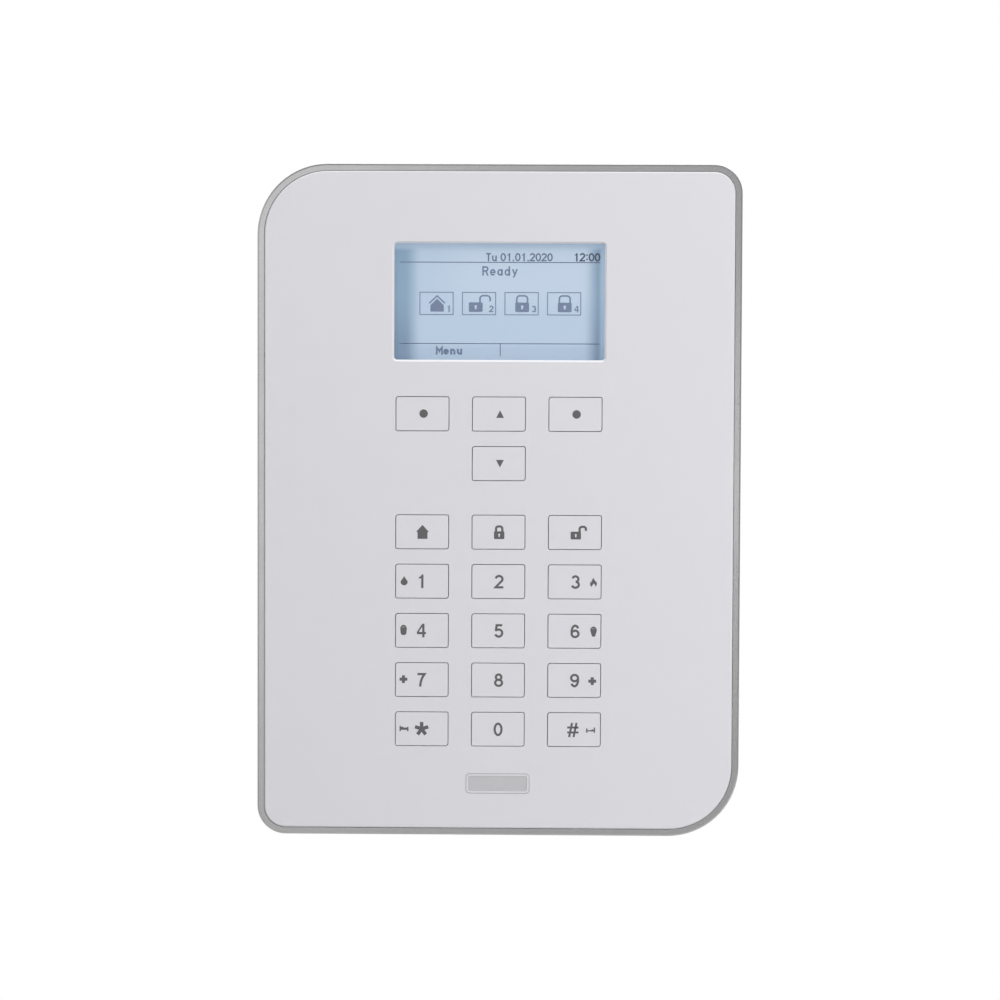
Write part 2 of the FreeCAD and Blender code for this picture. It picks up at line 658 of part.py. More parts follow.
def processor_chips():
    """Processor, memory and modem chips on the main board."""
    places = [(6.0, 74.0, 20.0, 16), (34.0, 76.0, 12.0, 10), (34.0, 56.0, 10.0, 9)]
    return [quad_chip(x, z, size, pins, MAIN_BOARD_FRONT) for x, z, size, pins in places]


def capacitors():
    """Electrolytic capacitors, with a scored top."""
    y = MAIN_BOARD_FRONT
    small = [(20.0, 36.0, 4.0, 10.5), (31.0, 36.0, 4.0, 10.5), (46.0, 56.0, 3.2, 8.0)]
    large = [(43.0, 36.0, 5.0, 12.5)]
    made = []
    for x, z, r, tall in small + large:
        can = rod(r, y - tall, y, x, z)
        can = can.makeFillet(0.6, edges_on(can, y - tall))
        score = block(x, z, 1.2 * r, 0.3, y - tall - 1, y - tall + 0.3)
        score = score.fuse(block(x, z, 0.3, 1.2 * r, y - tall - 1, y - tall + 0.3))
        made.append(can.cut(score))
    return made


def relays():
    """Three sealed relays in a row."""
    y = MAIN_BOARD_FRONT
    made = []
    for n in range(3):
        case = even(12.0, 20.0, 0.6, y - 11.0, y, -46.0 + 15.0 * n, 38.0)
        made.append(soften(case, y - 11.0, 0.5))
    return made


def terminal_strip(x0, z0, y_back, poles, pitch=5.08, deep=10.0, tall=11.0):
    """Screw terminal block: wire mouths face down, screws face the front."""
    width = poles * pitch
    strip = box(x0, x0 + width, y_back - deep, y_back, z0, z0 + tall)
    cuts = []
    screws = []
    for n in range(poles):
        x = x0 + pitch * (n + 0.5)
        cuts.append(box(x - 1.7, x + 1.7, y_back - 6.5, y_back - 2.5, z0 - 1, z0 + 5.0))
        cuts.append(rod(1.9, y_back - deep - 1, y_back - deep + 2.2, x, z0 + 6.8))
        head = rod(1.7, y_back - deep + 0.9, y_back - deep + 2.2, x, z0 + 6.8)
        screws.append(head.cut(block(x, z0 + 6.8, 4.0, 0.5, y_back - deep, y_back - deep + 1.4)))
    return [fuse([strip.cut(Part.makeCompound(cuts)), *screws])]


def terminal_blocks():
    """Two wiring blocks on the main board and the mains block beside the power module."""
    y = MAIN_BOARD_FRONT
    blocks = terminal_strip(-56.0, -6.5, y, 7) + terminal_strip(-16.0, -6.5, y, 7)
    mains = terminal_strip(0.0, 0.0, 0.0, 3, pitch=6.35, deep=13.0, tall=14.0)[0]
    mains.rotate(V(0, 0, 0), V(0, 1, 0), 180)
    mains.translate(V(-15.5, FLOOR, -82.5))
    return blocks + [mains]


def network_socket():
    """Shielded network socket, its mouth facing down."""
    y = MAIN_BOARD_FRONT
    can = box(40.0, 56.5, y - 13.2, y, -9.5, 9.0)
    can = can.cut(box(42.3, 54.2, y - 11.6, y - 3.2, -11.0, 4.0))
    can = can.cut(box(45.8, 50.7, y - 3.3, y - 1.6, -11.0, 4.0))
    tongue = box(43.6, 52.9, y - 11.7, y - 9.9, -7.5, 4.5)
    return fuse([can, tongue])


def board_sockets():
    """Memory card socket, service port and the plugs that the leads end in."""
    y = MAIN_BOARD_FRONT
    card = box(36.0, 51.0, y - 1.9, y, 88.0, 102.0).cut(box(37.0, 50.0, y - 1.3, y - 0.4, 90.0, 103.0))
    port = even(7.8, 3.6, 1.2, 0, 7.5, 0, 0).cut(even(7.0, 2.8, 0.9, -1, 5.5, 0, 0))
    port.rotate(V(0, 0, 0), V(1, 0, 0), 90)
    port.translate(V(30.5, y - 1.9, -9.0))
    plugs = [
        lead_plug(-50.0, -42.5, 9.5, 14.5),
        lead_plug(45.5, 53.0, 10.5, 15.5),
        lead_plug(34.7, 39.7, 16.0, 23.5),
        lead_plug(-20.7, -15.7, 14.0, 21.5),
        lead_plug(-61.0, -53.5, 27.5, 32.5),
    ]
    return [card, port, *plugs]


def lead_plug(x0, x1, z0, z1):
    """Two-way plug, with a latch rib on its top."""
    y = MAIN_BOARD_FRONT
    cx, cz = (x0 + x1) / 2, (z0 + z1) / 2
    long_x = x1 - x0 > z1 - z0
    rib = block(cx, cz, 5.0 if long_x else 1.4, 1.4 if long_x else 5.0, y - 4.6, y - 3)
    return box(x0, x1, y - 4.0, y, z0, z1).fuse(rib)


def battery(sx):
    """Rechargeable pack in a soft wrap, with a raised lead outlet at its inner end."""
    inner, outer = BATTERY_X
    low, high = BATTERY_Z
    x = sx * (inner + outer) / 2
    pack = even(outer - inner, high - low, 3.0, BATTERY_FRONT, FLOOR - 0.2, x, (low + high) / 2)
    pack = soften(soften(pack, BATTERY_FRONT, 1.8), FLOOR - 0.2, 1.8)
    seam = even(outer - inner - 6, 1.2, 0.5, BATTERY_FRONT - 0.25, BATTERY_FRONT + 1, x, high - 7.0)
    outlet = even(16.0, 4.0, 1.0, BATTERY_FRONT + 0.2, -9.8, x, high + 0.6)
    return fuse([pack, seam, outlet])


def battery_straps():
    """Sprung plastic strap over each pack."""
    inner, outer = BATTERY_X
    straps = []
    for sx in (-1, 1):
        x = sx * (inner + outer) / 2
        reach = (outer - inner) / 2 + 0.4
        t = 1.4
        bridge = block(x, -46.0, 2 * (reach + t), 14.0, BATTERY_FRONT - 0.4 - t, BATTERY_FRONT - 0.4)
        edge = reach + t / 2
        legs = [block(x + dx, -46.0, t, 14.0, BATTERY_FRONT - 0.5, FLOOR) for dx in (-edge, edge)]
        groove = block(x, -46.0, 2 * reach - 8, 5.0, BATTERY_FRONT - 2.4, BATTERY_FRONT - 1.3)
        straps.append(fuse([bridge, *legs]).cut(groove))
    return straps


def power_module():
    """Enclosed mains power module with cooling slots."""
    x, z = -25.0, -117.0
    case = even(58.0, 38.0, 2.0, -25.5, FLOOR - 0.1, x, z)
    case = soften(case, -25.5, 1.2)
    cuts = [block(x + 5.0 * n, z, 2.0, 22.0, -27.0, -24.3) for n in range(-4, 5)]
    seam = block(x, z, 60.0, 40.0, -15.9, -15.3).cut(even(57.0, 37.0, 1.5, -17, -14, x, z))
    cuts.append(seam)
    return case.cut(Part.makeCompound(cuts))


def siren_sounder():
    """Round siren with a ring of ports in its face."""
    x, z = SIREN
    can = rod(SIREN_R, -24.0, FLOOR - 0.1, x, z)
    can = can.makeFillet(1.5, edges_on(can, -24.0))
    dish = Part.makeCone(14.0, 10.0, 1.6, V(x, -24.1, z), V(0, 1, 0))
    cuts = [dish, rod(2.5, -25, -18, x, z)]
    for n in range(8):
        a = math.radians(45 * n)
        cuts.append(rod(1.5, -25, -18, x + 7.0 * math.cos(a), z + 7.0 * math.sin(a)))
    groove = rod(SIREN_R + 1, -12.0, -10.5, x, z).cut(rod(SIREN_R - 0.8, -13, -10, x, z))
    cuts.append(groove)
    return can.cut(Part.makeCompound(cuts))


def speaker():
    """Slim oblong speaker that faces the left wall."""
    frame = box(-98.6, -96.6, -16.1, -3.6, 18.0, 58.0)
    cone = box(-96.6, -93.6, -14.8, -4.8, 20.5, 55.5)
    magnet = Part.makeCylinder(4.6, 4.0, V(-93.6, -9.8, 38.0), V(1, 0, 0))
    return fuse([frame, cone, magnet])


def tamper_switches():
    """The cover's switch and the wall's switch."""
    cx, cz = COVER_TAMPER
    cover = soften(block(cx, cz, 12.0, 12.0, -21.0, -13.0), -21.0, 0.5)
    cover = cover.cut(rod(1.9, -22, -16.5, cx, cz))
    wx, wz = WALL_TAMPER
    wall = soften(block(wx, wz, 12.0, 12.0, -19.0, -12.5), -19.0, 0.5)
    return [cover, wall]


def cover_tamper_button():
    x, z = COVER_TAMPER
    button = rod(1.8, -24.0, -17.5, x, z)
    return button.makeFillet(0.5, edges_on(button, -24.0))


def wall_tamper_plunger():
    """Plunger that the wall holds in."""
    x, z = WALL_TAMPER
    pin = rod(2.5, -7.0, 0, x, z)
    pin = pin.makeFillet(0.6, edges_on(pin, 0))
    return fuse([pin, rod(4.3, -7.5, -6.0, x, z)])


def wall_tamper_spring():
    """Coil between the wall switch and the plunger's flange."""
    x, z = WALL_TAMPER
    wire_r, coil_r = 0.3, 3.4
    start, end = -12.2, -7.8
    pitch = 1.1
    path = Part.makeHelix(pitch, end - start, coil_r)
    section = Part.Wire(Part.Circle(V(coil_r, 0, 0), V(0, 1, 0), wire_r).toShape())
    coil = Part.Wire(path.Edges).makePipeShell([section], True, True)
    coil.rotate(V(0, 0, 0), V(1, 0, 0), -90)
    coil.translate(V(x, start, z))
    return coil


def cover_screws():
    """Retaining screws: threaded into the rear case, their heads under the cover's open slots."""
    screws = []
    for sx in (-1, 1):
        screw = cross_screw(0, 0, 0, 8.2, r=1.3, head_r=2.9, head_t=1.7)
        screw.rotate(V(0, 0, 0), V(1, 0, 0), 90)
        screw.translate(V(sx * COVER_SCREW_X, COVER_SCREW_Y, -139.6))
        screws.append(screw)
    return screws


# ---------------------------------------------------------------- build
def main():
    os.makedirs(OUT, exist_ok=True)
    nodes = {
        "trim_frame": trim_frame,
        "front_panel": front_panel,
        "badge_plate": badge_plate,
        "front_cover": front_cover,
        "display_window": display_window,
        "display_frame": display_frame,
        "display_glass": display_glass,
        "display_backlight": display_backlight,
        "key_guide": key_guide,
        "keypad_mat": keypad_mat,
        "keypad_board": keypad_board,
        "keypad_board_screws": keypad_board_screws,
        "keypad_board_chips": keypad_board_chips,
        "keypad_socket": lambda: ribbon_socket(KEYPAD_BOARD_FRONT + BOARD_T, 1),
        "main_socket": lambda: ribbon_socket(MAIN_BOARD_FRONT, -1),
        "ribbon_cable": ribbon_cable,
        "rear_case": rear_case,
        "cable_grommet": cable_grommet,
        "main_board": main_board,
        "main_board_screws": main_board_screws,
        "radio_shield": radio_shield,
        "antenna_wires": antenna_wires,
        "processor_chips": processor_chips,
        "capacitors": capacitors,
        "relays": relays,
        "terminal_blocks": terminal_blocks,
        "network_socket": network_socket,
        "board_sockets": board_sockets,
        "lead_wires_red": lambda: lead_wires(2.9),
        "lead_wires_black": lambda: lead_wires(1.5),
        "battery_left": lambda: battery(-1),
        "battery_right": lambda: battery(1),
        "battery_straps": battery_straps,
        "power_module": power_module,
        "siren_sounder": siren_sounder,
        "speaker": speaker,
        "tamper_switches": tamper_switches,
        "cover_tamper_button": cover_tamper_button,
        "wall_tamper_plunger": wall_tamper_plunger,
        "wall_tamper_spring": wall_tamper_spring,
        "cover_screws": cover_screws,
    }
    for name, make in nodes.items():
        save(name, make())
    for name, x, z in key_places():
        save(name, key_cap(x, z))


main()
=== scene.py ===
import json
import math

import bmesh
import bpy
from mathutils import Matrix, Vector


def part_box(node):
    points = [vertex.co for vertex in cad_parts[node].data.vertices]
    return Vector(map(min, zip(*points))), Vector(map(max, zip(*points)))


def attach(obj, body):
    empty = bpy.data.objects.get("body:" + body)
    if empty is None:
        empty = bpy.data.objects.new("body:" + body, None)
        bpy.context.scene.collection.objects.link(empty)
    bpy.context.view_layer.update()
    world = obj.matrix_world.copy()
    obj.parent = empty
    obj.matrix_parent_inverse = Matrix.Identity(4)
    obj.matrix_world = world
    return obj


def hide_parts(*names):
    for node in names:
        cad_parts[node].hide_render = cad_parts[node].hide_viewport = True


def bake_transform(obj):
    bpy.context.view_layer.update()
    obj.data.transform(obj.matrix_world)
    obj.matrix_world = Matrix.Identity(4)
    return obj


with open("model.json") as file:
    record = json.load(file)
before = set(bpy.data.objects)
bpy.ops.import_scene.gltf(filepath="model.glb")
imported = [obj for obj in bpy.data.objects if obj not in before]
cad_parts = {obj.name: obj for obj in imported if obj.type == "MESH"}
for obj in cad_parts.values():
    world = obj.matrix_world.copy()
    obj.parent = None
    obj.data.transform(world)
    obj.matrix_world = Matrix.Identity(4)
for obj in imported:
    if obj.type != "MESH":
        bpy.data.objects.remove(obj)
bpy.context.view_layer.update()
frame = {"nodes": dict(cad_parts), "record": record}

MM = 0.001
EVEN = (1.0, 1.0, 1.0)
nodes = frame["nodes"]

# -------------------- sizes shared with the CAD model, in millimetres
FACE_Y = -50.0
DISPLAY_Y = -45.2
MAIN_BOARD_Y = -10.6  # front of the main board
KEYPAD_BOARD_Y = -39.2  # back of the keypad board
CASE_FLOOR_Y = -2.4
BATTERY_FRONT_Y = -14.4
TERMINAL_SCREW_Y = -19.76  # front of the low-voltage terminals' screw heads
MAINS_SCREW_Y = -14.56
CASE_WIDTH, CASE_HEIGHT = 205.0, 285.0
SMALL_CORNER, LARGE_CORNER = 12.0, 30.0
WALL_HOLE_X, WALL_HOLE_Z = 75.0, 110.0
PLUNGER_X, PLUNGER_Z = -80.0, 5.0


# -------------------- materials
class Shader:
    """A Principled material and short ways to wire textures into it."""

    def __init__(self, name, colour, rough, metal=0.0):
        self.material = bpy.data.materials.new(name)
        self.material.use_nodes = True
        self.tree = self.material.node_tree
        self.tree.nodes.clear()
        self.bsdf = self.node("BsdfPrincipled")
        self.link(self.bsdf.outputs[0], self.node("OutputMaterial").inputs["Surface"])
        self.set("Base Color", (*colour, 1.0))
        self.set("Roughness", rough)
        self.set("Metallic", metal)

    def node(self, kind):
        return self.tree.nodes.new("ShaderNode" + kind)

    def link(self, a, b):
        self.tree.links.new(a, b)

    def set(self, socket, value):
        self.bsdf.inputs[socket].default_value = value

    def wire(self, socket, source):
        self.link(source, self.bsdf.inputs[socket])

    def coords(self, stretch=EVEN):
        where = self.node("TexCoord")
        mapping = self.node("Mapping")
        mapping.inputs["Scale"].default_value = stretch
        self.link(where.outputs["Object"], mapping.inputs["Vector"])
        return mapping.outputs[0]

    def noise(self, size_mm, detail=2.0, stretch=EVEN):
        node = self.node("TexNoise")
        node.inputs["Scale"].default_value = 1000.0 / size_mm
        node.inputs["Detail"].default_value = detail
        self.link(self.coords(stretch), node.inputs["Vector"])
        return node.outputs["Fac"]

    def cells(self, size_mm, metric):
        node = self.node("TexVoronoi")
        node.distance = metric
        node.inputs["Scale"].default_value = 1000.0 / size_mm
        self.link(self.coords(), node.inputs["Vector"])
        return node.outputs["Distance"]

    def along(self, name, vector):
        split = self.node("SeparateXYZ")
        self.link(vector, split.inputs[0])
        return split.outputs[name]

    def axis(self, name):
        """Object coordinate along one axis, in millimetres."""
        return self.along(name, self.coords((1000.0, 1000.0, 1000.0)))

    def facing(self, name):
        """Surface normal along one axis of the object."""
        return self.along(name, self.node("TexCoord").outputs["Normal"])

    def maths(self, operation, a, b=None):
        node = self.node("Math")
        node.operation = operation
        for n, value in enumerate((a, b)):
            if value is None:
                continue
            if isinstance(value, (int, float)):
                node.inputs[n].default_value = value
            else:
                self.link(value, node.inputs[n])
        return node.outputs[0]

    def span(self, source, a, b, low=0.0, high=1.0):
        """source between a and b becomes low to high, with a smooth start and end."""
        node = self.node("MapRange")
        node.interpolation_type = "SMOOTHSTEP"
        for socket, value in (("From Min", a), ("From Max", b), ("To Min", low), ("To Max", high)):
            node.inputs[socket].default_value = value
        self.link(source, node.inputs["Value"])
        return node.outputs[0]

    def mix(self, amount, a, b):
        """Colour a where amount is 0 and b where it is 1."""
        node = self.node("Mix")
        node.data_type = "RGBA"
        self.link(amount, node.inputs["Factor"])
        for socket, value in ((6, a), (7, b)):
            if isinstance(value, tuple):
                node.inputs[socket].default_value = (*value, 1.0)
            else:
                self.link(value, node.inputs[socket])
        return node.outputs[2]

    def bump(self, height, depth_mm):
        node = self.node("Bump")
        node.inputs["Distance"].default_value = depth_mm * MM
        self.link(height, node.inputs["Height"])
        self.wire("Normal", node.outputs[0])


def shade(colour, factor):
    return tuple(min(1.0, c * factor) for c in colour)


def tones(s, pattern, colour, spread):
    """A colour that drifts darker and lighter with a pattern."""
    return s.mix(pattern, shade(colour, 1 - spread), shade(colour, 1 + spread))


def plastic(name, colour, rough, grain_mm, depth_mm, spread=0.03, painted_top_light=None):
    """Moulded plastic: fine spark-eroded grain, faint colour drift and patchy gloss.

    Where painted_top_light is given, edges that look up take that lighter colour: a painted highlight,
    as light from above would give them.
    """
    s = Shader(name, colour, rough)
    tone = tones(s, s.noise(38.0, 3.0), colour, spread)
    if painted_top_light:
        # painted highlight: faces whose normal looks up are made lighter
        tone = s.mix(s.span(s.facing("Z"), 0.4, 0.7), tone, painted_top_light)
    s.wire("Base Color", tone)
    s.wire("Roughness", s.span(s.noise(9.0, 4.0), 0.3, 0.7, rough - 0.05, rough + 0.05))
    s.bump(s.noise(grain_mm, 2.0), depth_mm)
    return s.material


def metal(name, colour, rough, grain_mm, depth_mm, stretch=EVEN):
    """Bare or plated metal with a grain that stretch can turn into brush lines."""
    s = Shader(name, colour, rough, 1.0)
    lines = s.noise(grain_mm, 3.0, stretch)
    s.wire("Base Color", tones(s, lines, colour, 0.08))
    s.wire("Roughness", s.span(lines, 0.3, 0.7, rough - 0.06, rough + 0.06))
    s.bump(lines, depth_mm)
    return s.material


def satin_rim():
    """Satin metal band: faint lines run along it at one depth, so its flat front shows none."""
    colour, rough = (0.62, 0.615, 0.615), 0.26
    s = Shader("silver_rim", colour, rough, 1.0)
    lines = s.noise(0.22, 2.0, (0.004, 1.0, 0.004))
    s.wire("Base Color", tones(s, lines, colour, 0.05))
    s.wire("Roughness", s.span(s.noise(24.0, 3.0), 0.3, 0.7, rough - 0.015, rough + 0.015))
    s.bump(lines, 0.0003)
    return s.material


def rubber(name, colour, rough=0.7):
    s = Shader(name, colour, rough)
    s.wire("Base Color", s.mix(s.noise(6.0, 4.0), shade(colour, 0.9), shade(colour, 1.12)))
    s.bump(s.noise(0.5, 3.0), 0.01)
    return s.material


def circuit_board():
    """Solder mask over faint copper tracks that run square and diagonal."""
    mask, copper = (0.012, 0.085, 0.032), (0.035, 0.17, 0.065)
    s = Shader("circuit_board", mask, 0.34)
    tracks = s.cells(5.2, "CHEBYCHEV")
    fine = s.cells(2.3, "MANHATTAN")
    wide = s.span(s.maths("PINGPONG", s.maths("MULTIPLY", tracks, 3.1), 0.5), 0.20, 0.24)
    thin = s.span(s.maths("PINGPONG", s.maths("MULTIPLY", fine, 2.4), 0.5), 0.19, 0.25)
    both = s.maths("MULTIPLY", wide, thin)
    s.wire("Base Color", s.mix(both, mask, copper))
    s.set("Coat Weight", 0.4)
    s.set("Coat Roughness", 0.18)
    s.bump(both, 0.02)
    return s.material


def display_glow():
    """Backlit liquid crystal: pale blue, steel blue where the light guide ends at each side. It darkens
    towards the top, most at the very top, where this is a painted shadow of the window's upper edge.
    Its right and top rims carry a painted bevel highlight.
    """
    centre, bright = (0.475, 0.62, 0.79), (0.54, 0.67, 0.83)
    dim, dimmest, low = (0.145, 0.30, 0.45), (0.075, 0.18, 0.32), (0.33, 0.46, 0.62)
    s = Shader("display_glow", (0.10, 0.12, 0.15), 0.5)
    x, z = s.axis("X"), s.axis("Z")
    sides = s.span(s.maths("ABSOLUTE", s.maths("SUBTRACT", x, 1.2)), 34.0, 41.5)
    wobble = s.span(s.noise(26.0, 2.0), 0.35, 0.65, -0.06, 0.06)
    foot = s.span(z, 67.0, 64.5, 0.0, 0.55)
    # darker towards the top; at the very top this is a painted shadow of the window's upper edge
    head = s.span(z, 105.0, 109.4, 0.0, 0.9)
    # painted bevel highlight: the side dimming eases off at the right edge and at the top edge
    edge = s.maths("MINIMUM", s.span(x, 41.6, 43.6, 1.0, 0.4), s.span(z, 105.8, 108.0, 1.0, 0.15))
    ends = s.maths("MAXIMUM", foot, head)
    upper = s.maths("MULTIPLY", s.span(z, 76.0, 90.0), s.span(x, -30.0, -8.0))
    middle = s.mix(s.maths("ADD", ends, wobble), s.mix(upper, centre, bright), low)
    margin = s.mix(s.span(z, 88.0, 62.0), dim, dimmest)
    s.wire("Emission Color", s.mix(s.maths("MULTIPLY", sides, edge), middle, margin))
    s.set("Emission Strength", 0.74)
    s.bump(s.noise(0.4, 1.0), 0.001)
    return s.material


def chip_case():
    """Black moulded chip whose legs, the lowest layer next to either board, are tinned."""
    black, tin = (0.018, 0.018, 0.020), (0.62, 0.62, 0.60)
    s = Shader("chip_black", black, 0.5)
    y = s.axis("Y")
    leg_top, blur = 0.4, 0.02
    main_legs = s.span(y, MAIN_BOARD_Y - leg_top - blur, MAIN_BOARD_Y - leg_top + blur)
    keypad_legs = s.span(y, KEYPAD_BOARD_Y + leg_top + blur, KEYPAD_BOARD_Y + leg_top - blur)
    legs = s.maths("MAXIMUM", main_legs, keypad_legs)
    s.wire("Base Color", s.mix(legs, black, tin))
    s.wire("Metallic", legs)
    s.wire("Roughness", s.span(legs, 0.0, 1.0, 0.5, 0.3))
    s.bump(s.noise(0.18), 0.006)
    return s.material


def capacitor_case():
    """Dark shrunk sleeve on the sides, bare aluminium on the end that faces the front."""
    sleeve, bare = (0.012, 0.022, 0.055), (0.72, 0.72, 0.73)
    s = Shader("capacitor_can", sleeve, 0.25)
    end = s.span(s.facing("Y"), -0.93, -0.97)
    s.wire("Base Color", s.mix(end, sleeve, bare))
    s.wire("Metallic", end)
    s.wire("Roughness", s.span(s.noise(3.0), 0.3, 0.7, 0.22, 0.34))
    s.bump(s.noise(0.4), 0.002)
    return s.material


def ink(name, colour, rough=0.5):
    """Printed ink: matt, with the slight mottling of screen print."""
    s = Shader(name, colour, rough)
    s.wire("Base Color", tones(s, s.noise(0.9, 3.0), colour, 0.08))
    s.bump(s.noise(0.25, 2.0), 0.002)
    return s.material


def clear_pane():
    s = Shader("clear_pane", (0.95, 0.97, 1.0), 0.04)
    s.set("Alpha", 0.06)
    s.set("IOR", 1.49)
    s.wire("Roughness", s.span(s.noise(14.0, 3.0), 0.3, 0.7, 0.03, 0.07))
    return s.material


WHITE = (0.80, 0.792, 0.832)
# colour, roughness, grain and its depth in millimetres, then what else plastic() or metal() takes
PLASTICS = {
    # panel_white's last colour is the painted highlight on its upward edges
    "panel_white": (WHITE, 0.36, 0.35, 0.0015, 0.006, (0.98, 0.975, 1.0)),
    "key_white": (WHITE, 0.38, 0.35, 0.0015, 0.006),
    "housing_white": ((0.79, 0.785, 0.79), 0.46, 0.45, 0.012, 0.012),
    "badge_grey": ((0.60, 0.60, 0.615), 0.30, 0.3, 0.001, 0.01),
    "light_guide": ((0.80, 0.86, 0.92), 0.25, 0.6, 0.003),
    "dark_plastic": ((0.025, 0.025, 0.027), 0.42, 0.25, 0.006, 0.1),
    "guide_grey": ((0.20, 0.205, 0.21), 0.48, 0.35, 0.01, 0.05),
    "relay_blue": ((0.015, 0.08, 0.30), 0.30, 0.4, 0.003, 0.08),
    "terminal_green": ((0.02, 0.20, 0.07), 0.42, 0.3, 0.006, 0.08),
    "socket_cream": ((0.66, 0.62, 0.50), 0.42, 0.3, 0.006, 0.04),
    "wire_red": ((0.46, 0.015, 0.010), 0.38, 0.5, 0.004, 0.08),
    "wire_black": ((0.016, 0.016, 0.017), 0.38, 0.5, 0.004, 0.1),
    "ribbon_grey": ((0.42, 0.43, 0.45), 0.40, 0.4, 0.003, 0.04),
    "battery_wrap": ((0.020, 0.045, 0.12), 0.26, 1.4, 0.02, 0.1),
    "module_black": ((0.020, 0.020, 0.022), 0.46, 0.35, 0.02, 0.1),
    "siren_black": ((0.022, 0.022, 0.024), 0.40, 0.35, 0.012, 0.1),
    "speaker_black": ((0.03, 0.03, 0.032), 0.55, 0.35, 0.012, 0.1),
    "plunger_white": ((0.62, 0.62, 0.62), 0.40, 0.3, 0.004),
}
METALS = {
    "screw_steel": ((0.58, 0.58, 0.60), 0.30, 0.15, 0.004),
    "tinned_steel": ((0.66, 0.66, 0.64), 0.34, 0.25, 0.004, (1.0, 1.0, 0.06)),
    "antenna_brass": ((0.78, 0.60, 0.30), 0.28, 0.3, 0.002),
}
MATERIALS = {
    "silver_rim": satin_rim(),
    "clear_window": clear_pane(),
    "display_blue": display_glow(),
    "silicone": rubber("silicone", (0.50, 0.52, 0.54), 0.55),
    "circuit_board": circuit_board(),
    "chip_black": chip_case(),
    "capacitor_can": capacitor_case(),
    "black_rubber": rubber("black_rubber", (0.022, 0.022, 0.022)),
}
MATERIALS |= {name: plastic(name, *values) for name, values in PLASTICS.items()}
MATERIALS |= {name: metal(name, *values) for name, values in METALS.items()}
TIN, STEEL, CHIP = (MATERIALS[name] for name in ("tinned_steel", "screw_steel", "chip_black"))
LEGEND = ink("legend_grey", (0.135, 0.13, 0.135))
PICTURE = ink("display_ink", (0.13, 0.19, 0.33), 0.6)
PICTURE_DARK = ink("display_ink_dark", (0.09, 0.155, 0.29), 0.6)
PICTURE_BLUE = ink("display_ink_blue", (0.006, 0.035, 0.14), 0.6)
RESISTOR = plastic("resistor_black", (0.020, 0.020, 0.022), 0.35, 0.2, 0.002, 0.1)
CERAMIC = plastic("ceramic_tan", (0.36, 0.25, 0.15), 0.45, 0.2, 0.002, 0.1)
SOLDER = metal("solder", (0.66, 0.66, 0.65), 0.30, 0.3, 0.004)
GOLD = metal("gold_pad", (0.80, 0.58, 0.25), 0.30, 0.3, 0.002)
FERRITE = plastic("ferrite", (0.055, 0.055, 0.06), 0.60, 0.2, 0.01, 0.12)
COPPER = metal("copper_winding", (0.66, 0.26, 0.12), 0.34, 0.3, 0.004)
LAMP = plastic("lamp_clear", (0.72, 0.74, 0.62), 0.20, 0.3, 0.001, 0.04)
DISC_BLUE = plastic("disc_blue", (0.02, 0.10, 0.36), 0.38, 0.5, 0.01, 0.1)
SILK = ink("silk_white", (0.62, 0.63, 0.60), 0.55)
LABEL = plastic("label_white", (0.62, 0.62, 0.60), 0.50, 0.6, 0.002, 0.02)
LABEL_INK = ink("label_ink", (0.06, 0.06, 0.065), 0.5)
# painted shade: a grey darker than the case, for the shading along the back's low moulded ridges
PAINTED_SHADE_LINE = plastic("moulded_line_painted_shade", (0.56, 0.557, 0.56), 0.5, 0.45, 0.004, 0.01)

for part in frame["record"]["subparts"]:
    mesh = nodes[part["node"]].data
    mesh.materials.clear()
    mesh.materials.append(MATERIALS[part["material_slot"]])


# -------------------- flat printed shapes
def oval(cx, cz, rx, rz, start, end, steps):
    """Points along an ellipse, angles in degrees from +X towards +Z."""
    angles = [math.radians(start + (end - start) * n / steps) for n in range(steps + 1)]
    return [(cx + rx * math.cos(a), cz + rz * math.sin(a)) for a in angles]


def arc(cx, cz, r, start, end, steps):
    return oval(cx, cz, r, r, start, end, steps)


def circle(cx, cz, r, steps=32):
    return arc(cx, cz, r, 0, 360, steps)[:-1]


def rect(x0, x1, z0, z1):
    return [(x0, z0), (x1, z0), (x1, z1), (x0, z1)]


def round_rect(cx, cz, w, h, r, other=None, steps=5):
    """Rectangle with round corners. The top left and bottom right ones may have another radius."""
    points = []
    for n, (sx, sz) in enumerate(((1, 1), (-1, 1), (-1, -1), (1, -1))):
        radius = other if other and n % 2 else r
        middle = cx + sx * (w / 2 - radius), cz + sz * (h / 2 - radius)
        points += arc(*middle, radius, 90 * n, 90 * n + 90, steps)
    return points


def moved(loops, dx, dz, sx=1.0, sz=1.0):
    return [[(x * sx + dx, z * sz + dz) for x, z in loop] for loop in loops]


def outline_mesh(loops, thick):
    """Filled mesh of loops, where a loop inside another is a hole. Its edge is closed."""
    data = bpy.data.curves.new("outline", "CURVE")
    data.dimensions = "2D"
    data.fill_mode = "BOTH"
    data.extrude = thick / 2
    for loop in loops:
        spline = data.splines.new("POLY")
        spline.points.add(len(loop) - 1)
        for point, (x, z) in zip(spline.points, loop):
            point.co = (x * MM, z * MM, 0, 1)
        spline.use_cyclic_u = True
    holder = bpy.data.objects.new("holder", data)
    bpy.context.scene.collection.objects.link(holder)
    bpy.context.view_layer.update()
    mesh = bpy.data.meshes.new_from_object(holder)
    bpy.data.objects.remove(holder)
    return mesh


